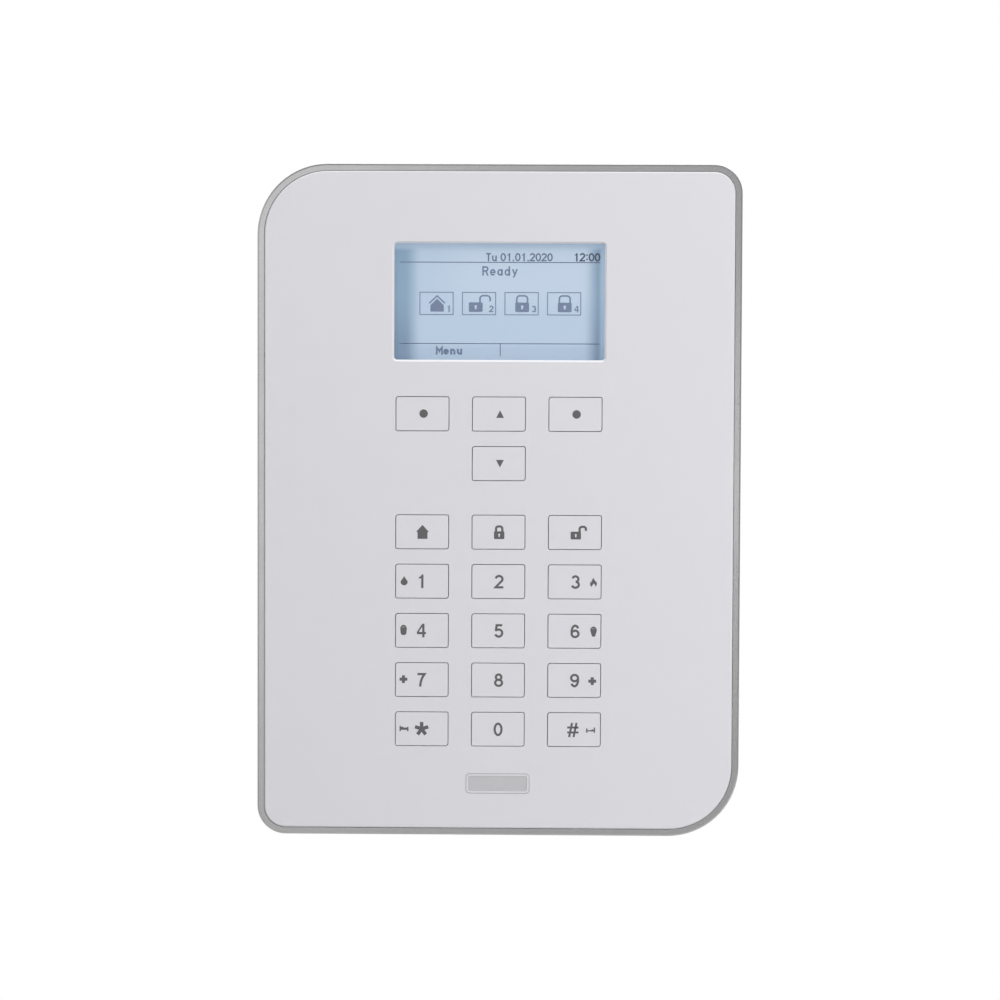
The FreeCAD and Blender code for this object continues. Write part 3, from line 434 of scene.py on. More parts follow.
def pen(line, weight):
    """Outline of an open line drawn with a pen, with square ends and mitred corners."""
    left, right = [], []
    along = [Vector(b) - Vector(a) for a, b in zip(line[:-1], line[1:])]
    for n, (x, z) in enumerate(line):
        a = along[max(n - 1, 0)].normalized()
        b = along[min(n, len(along) - 1)].normalized()
        middle = (a + b).normalized()
        reach = weight / 2 / max(0.42, middle.dot(a))
        left.append((x - middle.y * reach, z + middle.x * reach))
        right.append((x + middle.y * reach, z - middle.x * reach))
    return [left + right[::-1]]


def ring(cx, cz, rx, rz, weight):
    """Closed oval drawn with a pen."""
    return [oval(cx, cz, rx + side, rz + side, 0, 350, 35) for side in (weight / 2, -weight / 2)]


def strokes(label, w):
    """Groups of loops for a digit or letter one unit high about the origin, drawn with a pen w wide."""
    h = 0.5 - w / 2  # top of a digit's or capital's pen line
    x_top = 0.2 - w / 2  # top of the small letters' pen line
    if label == "0":
        return [ring(0, 0, 0.25, h, w)]
    if label == "1":
        flag = [(0.03, 0.5), (-0.06, 0.37), (-0.2, 0.29), (-0.2, 0.17), (0.14 - w, 0.24)]
        return [[[(0.14, -0.5), (0.14, 0.5), *flag, (0.14 - w, -0.5)]]]
    if label == "2":
        return [pen([*oval(0, 0.19, 0.245, h - 0.19, 170, -38, 14), (-0.26, -h), (0.31, -h)], w)]
    if label == "3":
        top = oval(-0.01, 0.21, 0.215, h - 0.21, 165, -85, 14)
        low = oval(-0.01, -0.2, 0.25, h - 0.2, 85, -165, 16)
        return [pen(top, w), pen(low, w)]
    if label == "4":
        left, right, low, top = 0.06, 0.06 + w, -0.27, -0.27 + w  # the stem, and the bar across it
        outer = [(right, -0.5), (right, low), (0.33, low), (0.33, top), (right, top), (right, 0.5),
                 (left, 0.5), (-0.33, top), (-0.33, low), (left, low), (left, -0.5)]
        return [[outer, [(left, top), (left, 0.27), (-0.2, top)]]]
    if label == "5":
        bowl = oval(-0.01, -0.155, 0.26, h - 0.155, 132, -160, 18)
        return [pen([(0.25, h), (-0.16, h), (-0.215, -0.02)], w), pen(bowl, w)]
    if label in ("6", "9"):
        turn = 1 if label == "6" else -1
        back = [(x * turn, z * turn) for x, z in oval(0.01, -0.03, 0.26, h + 0.03, 35, 190, 16)]
        return [ring(0, -0.185 * turn, 0.25, h - 0.185, w), pen(back, w)]
    if label == "7":
        return [pen([(-0.28, h), (0.24, h), (0.08, 0.17), (-0.03, -0.12), (-0.09, -0.5)], w)]
    if label == "8":
        return [ring(0, 0.22, 0.2, h - 0.22, w), ring(0, -0.195, 0.25, h - 0.195, w)]
    if label == "R":
        bowl = [(-0.26, h), *oval(0.04, h / 2, 0.2, h / 2, 90, -90, 10), (-0.26, 0)]
        return [pen([(-0.26, -0.5), (-0.26, 0.5)], w), pen(bowl, w), pen([(0.02, 0), (0.26, -0.5)], w)]
    if label == "M":
        return [pen([(-0.32, -0.5), (-0.32, h), (0, -0.1), (0.32, h), (0.32, -0.5)], w)]
    if label == "T":
        return [pen([(0, -0.5), (0, h)], w), pen([(-0.3, h), (0.3, h)], w)]
    middle, tall = (x_top - h) / 2, (x_top + h) / 2
    if label == "e":
        bowl = oval(0, middle, 0.22, tall, 0, 320, 20)
        return [pen(bowl, w), pen([(-0.2, middle), (0.22 + w / 2, middle)], w)]
    if label in ("a", "d"):
        top = 0.2 if label == "a" else 0.5
        return [ring(-0.02, middle, 0.2, tall, w), pen([(0.2, -0.5), (0.2, top)], w)]
    if label == "y":
        tail = [(0.24, 0.2), (-0.02, -0.5), (-0.16, -0.68)]
        return [pen([(-0.22, 0.2), (0.01, -0.42)], w), pen(tail, w)]
    arch = [*arc(0, x_top - 0.2, 0.2, 180, 0, 10), (0.2, -0.5)]
    lines = [arch, [(-0.2, -0.5), (-0.2, 0.2)]]
    if label == "u":  # an n turned over
        lines = [[(-x, x_top - h - z) for x, z in line] for line in lines]
    return [pen(line, w) for line in lines]


def line_of(text, cx, cz, height, pitch, weight):
    """Groups of loops for a row of characters, pitch apart. Points and colons take half a pitch."""
    groups = []
    steps = [pitch * (0.5 if c in ".:" else 1.0) for c in text]
    x = cx - sum(steps) / 2
    dot = weight * height * 0.5
    for c, step in zip(text, steps):
        middle = x + step / 2
        if c == ".":
            foot = cz - height / 2
            groups.append([rect(middle - dot, middle + dot, foot, foot + 2 * dot)])
        elif c == ":":
            for up in (-0.24 * height, 0.24 * height):
                groups.append([rect(middle - dot, middle + dot, cz + up - dot, cz + up + dot)])
        else:
            groups += [moved(group, middle, cz, height, height) for group in strokes(c, weight)]
        x += step
    return groups


def stamp(name, body, material, y_mm, groups, thick_mm=0.03):
    """One thin printed piece. Each group is a filled outline with its holes."""
    thick = thick_mm * MM
    step = thick / 12  # strokes that cross lie one on the other, not in one plane
    face = Matrix.Translation((0, y_mm * MM, 0)) @ Matrix.Rotation(math.radians(90), 4, "X")
    whole = bmesh.new()
    for n, loops in enumerate(groups):
        mesh = outline_mesh(loops, thick)
        mesh.transform(face @ Matrix.Translation((0, 0, step * (n % 3))))
        whole.from_mesh(mesh)
    bmesh.ops.remove_doubles(whole, verts=whole.verts, dist=1e-7)
    piece_from(whole, name, body, material)


def piece_from(bm, name, body, material, smooth=False):
    """Turn a bmesh into a piece that rides on a body."""
    mesh = bpy.data.meshes.new(name)
    bm.to_mesh(mesh)
    bm.free()
    mesh.materials.append(material)
    for face in mesh.polygons:
        face.use_smooth = smooth
    piece = bpy.data.objects.new(name, mesh)
    bpy.context.scene.collection.objects.link(piece)
    if body:
        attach(piece, body)
    return piece


# -------------------- symbols, each about its own centre, in millimetres
def house():
    roof = [(-2.6, 0.15), (0, 2.95), (2.6, 0.15)]
    return [[*roof, (2.1, -0.25), (2.1, -2.95), (-2.1, -2.95), (-2.1, -0.25)]]


def keyhole(cz):
    return [*arc(0, cz + 0.2, 0.42, -55, 235, 12), (-0.3, cz - 0.75), (0.3, cz - 0.75)]


def padlock(closed, weight=0.95, half=1.33):
    """Padlock whose shackle stands over the body, or swung out beside it."""
    body = round_rect(0, -1.25, 4.4, 3.3, 0.45)
    cx = 0 if closed else 2.95
    foot, end = 0.2, (0.2 if closed else 0.75)
    top, bend = 2.95 - weight / 2, 1.0
    left = arc(cx - half + bend, top - bend, bend, 180, 90, 6)
    right = arc(cx + half - bend, top - bend, bend, 90, 0, 6)
    shackle = [(cx - half, foot), *left, *right, (cx + half, end)]
    return [[body, keyhole(-1.2)], pen(shackle, weight)]


def drop():
    bowl = arc(0, -0.4, 1.5, 180, 360, 18)
    return [[(0, 2.0), (-0.7, 0.85), (-1.3, 0.1), *bowl, (1.3, 0.1), (0.7, 0.85)]]


def flame():
    left = [(-0.75, -1.9), (-1.35, -1.3), (-1.5, -0.4), (-1.15, 0.35), (-0.85, 0.0), (-0.75, 0.8)]
    tip = [(-0.35, 1.45), (0.0, 2.0), (0.3, 1.3)]
    right = [(0.75, 0.65), (1.3, 0.1), (1.5, -0.6), (1.25, -1.35), (0.7, -1.9)]
    inside = [(0.8, -1.3), (0.45, -0.75), (0.05, -0.35), (-0.15, -0.85), (-0.55, -1.25)]
    return [left + tip + right + inside]


def fist(top, foot):
    """Raised fist: an egg shape whose half width is top at the knuckles and foot at the wrist."""
    knuckles = oval(0, 0.55, top, 1.65, 180, 0, 14)
    wrist = oval(0, -1.35, foot, 0.85, 0, -180, 10)
    folds = [rect(x - 0.05, x + 0.05, 0.95, 1.6) for x in (-top * 0.42, 0, top * 0.42)]
    return [[*knuckles, *wrist], *folds]


def cross(size=3.3, arm=1.3):
    s, a = size / 2, arm / 2
    right = [(a, -s), (a, -a), (s, -a), (s, a), (a, a), (a, s)]
    left = [(-a, s), (-a, a), (-s, a), (-s, -a), (-a, -a)]
    return [[(-a, -s), *right, *left]]


def bed(plank):
    """Bed from the side, its mattress plank thick, with a pillow at the head."""
    low = -0.55
    top = low + plank
    head = [(-1.9, -1.15), (-1.9, 1.15), (-1.35, 1.15), (-1.35, top)]
    pillow = [(-1.1, top + 0.35), (-0.5, top + 0.35), (-0.25, top)]
    foot = [(1.35, top), (1.35, 0.75), (1.9, 0.75), (1.9, -1.15), (1.35, -1.15), (1.35, low)]
    return [[*head, *pillow, *foot, (-1.35, low), (-1.35, -1.15)]]


def triangle(up):
    s = 1 if up else -1
    return [[(-1.65, -1.6 * s), (1.65, -1.6 * s), (0, 1.6 * s)]]


def star():
    """Five square-ended arms about one centre."""
    reach, half = 2.95, 0.74
    between = math.radians(36)
    outline = []
    for n in range(5):
        angle = math.radians(90 + 72 * n)
        out = Vector((math.cos(angle), math.sin(angle)))
        side = Vector((-out.y, out.x)) * half
        before = Vector((math.cos(angle - between), math.sin(angle - between)))
        notch = before * (half / math.sin(between))
        outline += [tuple(notch), tuple(out * reach - side), tuple(out * reach + side)]
    return [outline]


def hash_sign():
    bars = [pen([(-2.4, z), (2.4, z)], 0.84) for z in (1.05, -1.05)]
    posts = [pen([(x - 0.62, -3.05), (x + 0.62, 3.05)], 0.88) for x in (-0.95, 0.95)]
    return bars + posts


def key_centre(node):
    """Middle of a CAD node's front, in millimetres."""
    low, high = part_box(node)
    return (low[0] + high[0]) / 2 / MM, (low[2] + high[2]) / 2 / MM


def print_keys():
    """Symbols and numbers on the keys."""
    icons = {  # each a symbol's groups, and its place from the key's centre
        "menu_left": [([[circle(0, 0, 1.8)]], 0.5, 0.1)],
        "menu_right": [([[circle(0, 0, 1.8)]], 0.5, 0.0)],
        "up": [([triangle(True)], 0.5, 0.0)],
        "down": [([triangle(False)], 0.5, 0.0)],
        "home": [([house()], 0.15, 0.0)],
        "lock": [(padlock(True), 0.3, 0.0)],
        "unlock": [(padlock(False), 0.4, 0.0)],
        "1": [([drop()], -7.6, 0.15)],
        "3": [([flame()], 8.0, -0.15)],
        "4": [([fist(1.4, 1.2)], -7.8, 0.2)],
        "6": [([fist(1.4, 0.85)], 8.15, -0.1)],
        "7": [([cross()], -7.8, 0.2)],
        "9": [([cross()], 7.7, -0.2)],
        "star": [([star()], 0.0, 0.0), ([bed(1.0)], -7.5, 0.1)],
        "hash": [(hash_sign(), -0.45, -0.1), ([moved(bed(0.5), 0, 0, -1.0)], 7.1, -0.1)],
    }
    nudge = {
        "1": -0.2, "2": 0.35, "3": 0.4,
        "4": -0.2, "5": 0.3, "6": 0.3,
        "7": -0.2, "8": 0.3, "9": 0.2,
        "0": 0.15,
    }
    for node in sorted(nodes):
        if not node.startswith("key_") or node == "key_guide":
            continue
        label = node.removeprefix("key_")
        cx, cz = key_centre(node)
        groups = [moved(g, cx + dx, cz + dz) for symbol, dx, dz in icons.get(label, ()) for g in symbol]
        if label in nudge:
            groups += line_of(label, cx + nudge[label], cz, 5.8, 4.0, 0.165)
        stamp("legend_" + label, node + "_body", LEGEND, FACE_Y - 0.012, groups)


def badge_border():
    """Light band round the blank badge's grey field."""
    low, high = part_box("badge_plate")
    cx, cz = key_centre("badge_plate")
    w, h = (high[0] - low[0]) / MM, (high[2] - low[2]) / MM
    outer, inner = 0.5, 1.9
    band = [
        round_rect(cx, cz, w - outer, h - outer, 1.4),
        round_rect(cx, cz, w - inner, h - inner, 0.9),
    ]
    stamp("badge_border", "cover", MATERIALS["panel_white"], FACE_Y - 0.008, [band])


def frame_loop(x0, x1, z0, z1, stroke):
    return [rect(x0, x1, z0, z1), rect(x0 + stroke, x1 - stroke, z0 + stroke, z1 - stroke)]


def display_house():
    eaves = pen([(-3.35, 0.1), (0, 3.2), (3.35, 0.1)], 0.6)
    body = [[(-2.85, -0.7), (0, 2.0), (2.85, -0.7), (2.85, -3.45), (-2.85, -3.45)]]
    return [eaves, body]


def print_display():
    """The picture on the display: four boxed symbols, generic words, and the time with the rules."""
    half = 0.17  # half a rule's thickness
    rules = [[rect(-41.9, 43.0, z - half, z + half)] for z in (101.0, 66.55)]
    rules.append([rect(0.75 - half, 0.75 + half, 61.3, 66.4)])
    boxes, box_line = [], 0.4
    lock = [moved(group, 0, 0.05, 1.34, 1.24) for group in padlock(True, 0.55, 1.7)]
    unlock = [moved(group, -1.65, 0.05, 1.34, 1.24) for group in padlock(False, 0.55, 1.6)]
    for n, symbol in enumerate((display_house(), unlock, lock, lock)):
        left = -33.6 + 18.05 * n
        boxes.append(frame_loop(left, left + 14.5, 78.6, 88.45, box_line))
        boxes += [moved(group, left + 7.5, 83.5) for group in symbol]
        boxes += line_of(str(n + 1), left + 12.5, 81.3, 2.8, 1.6, 0.2)
    words = line_of("Tu", -3.1, 103.2, 3.5, 2.5, 0.18)
    words += line_of("01.01.2020", 11.8, 103.2, 3.5, 2.48, 0.18)
    words += line_of("Ready", 0.6, 97.35, 4.0, 3.1, 0.16)
    words += line_of("Menu", -20.8, 63.6, 3.5, 2.85, 0.24)
    time = line_of("12:00", 37.4, 103.25, 3.6, 2.55, 0.19)
    aside, up = -0.4, 0.25
    for name, material, picture in (
        ("display_picture", PICTURE, boxes),
        ("display_words", PICTURE_DARK, words),
        ("display_time", PICTURE_BLUE, time + rules),
    ):
        placed = [moved(group, aside, up) for group in picture]
        stamp(name, "cover", material, DISPLAY_Y - 0.03, placed, 0.02)


print_keys()
badge_border()
print_display()


# -------------------- ribbon cable, bent across the hinge
RIBBON_REAR_Y, RIBBON_FRONT_Y = -21.0, -30.0  # the two upright runs


def turning(angle, steps):
    """Angles from 0 to the given one."""
    return [angle * n / steps for n in range(steps + 1)]


def ribbon_line():
    """Middle line of the cable from socket to socket, as (y, z): up, over in a loop, and down."""
    rear, front, foot, crown = RIBBON_REAR_Y, RIBBON_FRONT_Y, 111.0, 126.0
    turn, loop = 2.5, (rear - front) / 2
    rise = crown - foot - turn
    quarter, half = turning(math.pi / 2, 5), turning(math.pi, 14)
    line = [(-13.7, foot)]
    line += [(rear + turn - turn * math.sin(a), foot + turn - turn * math.cos(a)) for a in quarter]
    line += [(rear, foot + turn + rise * n / 6) for n in range(1, 6)]
    line += [((rear + front) / 2 + loop * math.cos(a), crown + loop * math.sin(a)) for a in half]
    line += [(front, crown - rise * n / 6) for n in range(1, 6)]
    line += [(front - turn + turn * math.cos(a), foot + turn - turn * math.sin(a)) for a in quarter]
    return line + [(-36.1, foot)]


def ribbon_section():
    """Places across the cable, each with half its thickness there."""
    cores, width, samples = 16, 21.6, 4
    core, web = 0.20, 0.05
    columns = []
    for n in range(cores * samples):
        c, s = divmod(n, samples)
        t = s / samples
        lift = core * math.sin(math.pi * t) if s else web
        columns.append((-width / 2 + (c + t) * width / cores, lift))
    return columns + [(width / 2, web)]


def ribbon():
    """Sixteen cores side by side, bent as the CAD cable is, and blended across the hinge."""
    line, columns = ribbon_line(), ribbon_section()
    normals = []
    for n in range(len(line)):
        a, b = line[max(n - 1, 0)], line[min(n + 1, len(line) - 1)]
        d = Vector((b[0] - a[0], b[1] - a[1])).normalized()
        normals.append(Vector((-d.y, d.x)))
    bm = bmesh.new()

    def face_of(side):
        """Rows of points on one face of the cable, side being 1 or -1."""
        rows = []
        for (y, z), normal in zip(line, normals):
            dy, dz = side * normal.x, side * normal.y
            points = [(x * MM, (y + lift * dy) * MM, (z + lift * dz) * MM) for x, lift in columns]
            rows.append([bm.verts.new(point) for point in points])
        return rows

    top, under = face_of(1), face_of(-1)
    last = len(columns) - 1
    for n in range(len(line) - 1):
        for c in range(last):
            bm.faces.new((top[n][c], top[n][c + 1], top[n + 1][c + 1], top[n + 1][c]))
            bm.faces.new((under[n][c], under[n + 1][c], under[n + 1][c + 1], under[n][c + 1]))
        bm.faces.new((top[n][0], top[n + 1][0], under[n + 1][0], under[n][0]))
        bm.faces.new((top[n][last], under[n][last], under[n + 1][last], top[n + 1][last]))
    for n in (0, len(line) - 1):
        for c in range(last):
            bm.faces.new((top[n][c], under[n][c], under[n][c + 1], top[n][c + 1]))
    bmesh.ops.recalc_face_normals(bm, faces=bm.faces)
    piece = piece_from(bm, "ribbon", None, MATERIALS["ribbon_grey"], smooth=True)
    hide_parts("ribbon_cable")
    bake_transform(piece)


ribbon()


# -------------------- small parts soldered to the boards
class SmallParts:
    """Small solids on one side of a board, gathered into one piece. Sizes are in millimetres.

    Heights are measured from the surface at y, towards -Y where out is -1 and towards +Y where it is 1.
    """

    def __init__(self, y, out=-1):
        self.whole = bmesh.new()
        self.materials = []
        self.out = out
        self.place = Matrix(((MM, 0, 0, 0), (0, 0, out * MM, y * MM), (0, MM, 0, 0), (0, 0, 0, 1)))

    def add(self, solid, material, axis=None):
        """Take in a solid made in x, z and height. Round ones shade smoothly about their axis."""
        if material not in self.materials:
            self.materials.append(material)
        solid.normal_update()
        for face in solid.faces:
            face.material_index = self.materials.index(material)
            face.smooth = axis is not None and abs(face.normal[axis]) < 0.9
        solid.transform(self.place)
        if self.out > 0:
            bmesh.ops.reverse_faces(solid, faces=solid.faces)
        mesh = bpy.data.meshes.new("part")
        solid.to_mesh(mesh)
        solid.free()
        self.whole.from_mesh(mesh)
        bpy.data.meshes.remove(mesh)

    def brick(self, x, z, w, h, low, high, material, ease=0.08):
        """Block with eased edges, centred on (x, z)."""
        solid = bmesh.new()
        size = Matrix.Diagonal((w, h, high - low, 1))
        middle = Matrix.Translation((x, z, (low + high) / 2))
        bmesh.ops.create_cube(solid, size=1.0, matrix=middle @ size)
        bmesh.ops.bevel(solid, geom=solid.edges[:], offset=ease, segments=1, affect="EDGES")
        self.add(solid, material)

    def drum(self, x, z, r, low, high, material, ease=0.15, steps=28):
        """Round part that stands off the board."""
        place = Matrix.Translation((x, z, (low + high) / 2))
        self.turned(place, 2, r, high - low, material, ease, steps)

    def rod(self, x, z, height, r, length, material, ease=0.15, steps=24):
        """Round part that lies along x, its axis at a height."""
        place = Matrix.Translation((x, z, height)) @ Matrix.Rotation(math.pi / 2, 4, "Y")
        self.turned(place, 0, r, length, material, ease, steps)

    def turned(self, place, axis, r, depth, material, ease, steps):
        """Cylinder about an axis, its rims eased."""
        solid = bmesh.new()
        bmesh.ops.create_cone(
            solid, cap_ends=True, segments=steps, radius1=r, radius2=r, depth=depth, matrix=place)
        rims = [e for e in solid.edges if abs(e.verts[0].co[axis] - e.verts[1].co[axis]) < 1e-6]
        bmesh.ops.bevel(solid, geom=rims, offset=ease, segments=2, affect="EDGES")
        self.add(solid, material, axis)

    def chips(self, places, upright, material, size=(2.0, 1.25, 0.6)):
        """The same two-ended part at several places."""
        for x, z in places:
            self.chip(x, z, upright, material, size)

    def chip(self, x, z, upright, material, size):
        """Two-ended part on its solder pads, lying along x, or along z if upright."""
        length, width, tall = size
        cap = length * 0.22

        def lay(offset, long, wide, low, high, finish, ease):
            if upright:
                self.brick(x, z + offset, wide, long, low, high, finish, ease)
            else:
                self.brick(x + offset, z, long, wide, low, high, finish, ease)

        lay(0, length - 2 * cap, width - 0.04, 0.04, tall - 0.02, material, 0.04)
        for side in (-1, 1):
            lay(side * (length - cap) / 2, cap, width, 0.03, tall, SOLDER, 0.06)
            lay(side * (length / 2 + 0.1), cap + 0.35, width + 0.2, 0.0, 0.12, SOLDER, 0.05)

    def small_outline(self, x, z, pins=4, upright=False):
        """Narrow chip with legs on two sides and a mark at its first leg."""
        pitch = 1.27
        long = pitch * pins
        w, h = (long, 3.9) if upright else (3.9, long)
        self.brick(x, z, w, h, 0.12, 1.5, CHIP, 0.15)
        for n in range(pins):
            at = (n - (pins - 1) / 2) * pitch
            for side in (-1, 1):
                dx, dz = (at, side * 2.4) if upright else (side * 2.4, at)
                w, h = (0.42, 1.1) if upright else (1.1, 0.42)
                self.brick(x + dx, z + dz, w, h, 0.0, 0.22, SOLDER, 0.04)
        self.drum(x - 1.2, z + 1.2, 0.28, 1.48, 1.52, SILK, 0.01, 12)

    def coil(self, x, z, size, tall):
        """Wound coil between two square ferrite flanges."""
        self.brick(x, z, size, size, 0.1, tall * 0.24, FERRITE, size * 0.08)
        turns = 5
        pitch = tall * 0.56 / turns
        for n in range(turns):
            low = tall * 0.24 + n * pitch
            self.drum(x, z, size * 0.40, low, low + pitch, COPPER, pitch * 0.4, 24)
        self.drum(x, z, size * 0.47, tall * 0.8, tall, FERRITE, 0.3, 24)

    def finish(self, name, body):
        piece = piece_from(self.whole, name, body, self.materials[0])
        for material in self.materials[1:]:
            piece.data.materials.append(material)


CERAMIC_SIZE = (2.2, 1.35, 1.1)
PRINT_LINE = 0.2


def row(x, z, count, dx, dz):
    """Places in a straight row, the first at (x, z) and the others a step (dx, dz) apart."""
    return [(x + dx * n, z + dz * n) for n in range(count)]


def main_board_parts():
    """Resistors, capacitors, coils and other small parts between the main board's larger ones."""
    board = SmallParts(MAIN_BOARD_Y)
    columns = row(-9.5, 64.5, 8, 0, 2.6) + row(-14.0, 64.5, 8, 0, 2.6) + row(21.8, 66.0, 7, 0, 2.5)
    columns += row(46.0, 69.0, 6, 0, 2.6) + row(51.5, 69.0, 6, 0, 2.6)
    board.chips(columns, False, RESISTOR)
    rows = row(-2.5, 58.5, 8, 2.5, 0) + row(-50.0, 56.5, 15, 2.8, 0) + row(24.0, 28.0, 5, 2.8, 0)
    board.chips(rows, True, RESISTOR)
    rows = row(-3.0, 90.2, 8, 2.6, 0) + row(26.5, 45.6, 6, 2.8, 0) + row(-50.0, 24.2, 10, 3.6, 0)
    board.chips(rows, True, CERAMIC, CERAMIC_SIZE)
    columns = row(23.0, 51.0, 4, 0, 3.0) + row(-6.5, 24.0, 4, 0, 2.8) + row(55.5, 60.0, 4, 0, 2.8)
    board.chips(columns, False, CERAMIC, CERAMIC_SIZE)
    board.chips(row(-47.0, 102.0, 4, 6.0, 0), True, LAMP, (2.2, 1.3, 0.8))
    for x, z in row(-46.0, 52.3, 3, 15.0, 0):
        board.chip(x - 3.2, z, False, RESISTOR, (4.2, 2.4, 1.9))
        board.brick(x + 3.4, z, 2.8, 1.3, 0.1, 1.0, CHIP, 0.08)
        for dx, dz in ((2.45, -1.05), (4.35, -1.05), (3.4, 1.05)):
            board.brick(x + dx, z + dz, 0.42, 0.9, 0.0, 0.25, SOLDER, 0.04)
    for x, z in ((-40.0, 110.5), (-28.0, 110.5), (51.0, 52.5)):
        board.small_outline(x, z)
    board.small_outline(22.0, 96.0, 7, True)
    board.coil(4.5, 47.5, 9.0, 4.6)
    board.coil(8.0, 35.5, 6.6, 3.6)
    power_switch(board, 2.0, 24.5)
    fuse(board, 3.5, 12.5)
    for x, z in row(-37.5, 10.2, 3, 6.0, 0):
        board.rod(x, z, 4.4, 4.2, 2.4, DISC_BLUE, 0.7, 28)
    button_cell(board, 30.0, 111.5)
    crystal(board, 5.5, 97.0)
    pads = row(17.5, 103.6, 6, 2.54, 0) + row(-10.5, 102.5, 8, 2.54, 0) + row(-57.5, 60.0, 5, 0, 2.54)
    for x, z in pads:
        board.drum(x, z, 0.75, 0.0, 0.05, GOLD, 0.01, 20)
        board.drum(x, z, 0.32, 0.03, 0.06, RESISTOR, 0.005, 12)
    board.finish("main_board_parts", "rear")


def power_switch(board, x, z):
    """Voltage regulator lying on its metal tab."""
    board.brick(x, z + 4.2, 10.0, 2.6, 0.05, 1.3, SOLDER, 0.12)
    board.brick(x, z, 10.0, 7.6, 0.1, 4.3, CHIP, 0.35)
    for dx in (-2.54, 0, 2.54):
        board.brick(x + dx, z - 5.2, 0.9, 3.0, 0.0, 0.6, SOLDER, 0.08)


def fuse(board, x, z):
    """Glass fuse in two sprung clips."""
    board.rod(x, z, 4.2, 2.35, 14.0, MATERIALS["clear_window"], 0.05)
    board.rod(x, z, 4.2, 0.12, 14.0, SOLDER, 0.02, 8)
    for side in (-1, 1):
        end = x + side * 7.6
        board.rod(end, z, 4.2, 2.6, 5.0, SOLDER, 0.3)
        for lean in (-1, 1):
            board.brick(end, z + lean * 2.85, 4.4, 0.35, 0.0, 6.0, TIN, 0.06)
        board.brick(end, z, 4.4, 6.2, 0.0, 0.35, TIN, 0.06)


def button_cell(board, x, z):
    """Coin cell under a steel bridge."""
    board.drum(x, z, 7.0, 0.0, 1.3, MATERIALS["dark_plastic"], 0.2, 40)
    board.drum(x, z, 6.25, 1.2, 3.2, STEEL, 0.35, 40)
    board.brick(x, z, 15.4, 3.2, 3.2, 3.5, TIN, 0.08)
    for side in (-1, 1):
        board.brick(x + side * 7.7, z, 0.35, 3.2, 0.0, 3.4, TIN, 0.06)
        board.brick(x + side * 8.6, z, 1.8, 3.2, 0.0, 0.3, SOLDER, 0.08)


def crystal(board, x, z):
    """Quartz crystal in a long can with round ends."""
    length, r = 7.0, 2.1
    for low, high, grow in ((0.0, 0.5, 0.35), (0.4, 3.4, 0.0)):
        solid = bmesh.new()
        ends = [(x - length / 2, 90, 270), (x + length / 2, -90, 90)]
        loop = [p for cx, start, end in ends for p in arc(cx, z, r + grow, start, end, 10)]
        foot, top = [[solid.verts.new((px, pz, up)) for px, pz in loop] for up in (low, high)]
        solid.faces.new(foot[::-1])
        solid.faces.new(top)
        for n in range(len(loop)):
            solid.faces.new((foot[n - 1], foot[n], top[n], top[n - 1]))
        board.add(solid, TIN, 2)


def main_board_print():
    """White outlines on the main board round its larger parts."""
    frames = [
        (-56.9, -19.1, 66.0, 98.0),  # radio
        (-5.9, 17.9, 62.1, 85.9), (26.1, 41.9, 68.1, 83.9), (27.1, 40.9, 49.1, 62.9),  # chips
        (35.3, 51.7, 87.3, 102.7),  # card socket
        (-14.8, 14.8, 107.0, 115.0),  # ribbon socket
        (-9.0, 16.0, 8.6, 16.4),  # fuse
        (21.2, 38.8, 103.9, 119.1),  # coin cell
        (-0.8, 9.8, 42.2, 52.8), (4.0, 12.0, 31.5, 39.5),  # coils
    ]
    frames += [(x - 6.6, x + 6.6, 27.4, 48.6) for x in (-46.0, -31.0, -16.0)]
    groups = [frame_loop(*corners, PRINT_LINE) for corners in frames]
    for x, z, r in ((20.0, 36.0, 4.0), (31.0, 36.0, 4.0), (43.0, 36.0, 5.0), (46.0, 56.0, 3.2)):
        groups.append(ring(x, z, r + 0.7, r + 0.7, PRINT_LINE))
        groups.append(moved(cross(1.3, 0.3), x, z + r + 1.6))
    for x, z in ((-7.2, 84.6), (25.0, 82.6), (26.0, 61.6)):
        groups.append([circle(x, z, 0.45, 16)])
    groups += [ring(x, z, 3.6, 3.6, PRINT_LINE) for x in (-56.0, 56.0) for z in (104.0, 20.0)]
    stamp("main_board_print", "rear", SILK, MAIN_BOARD_Y - 0.012, groups)


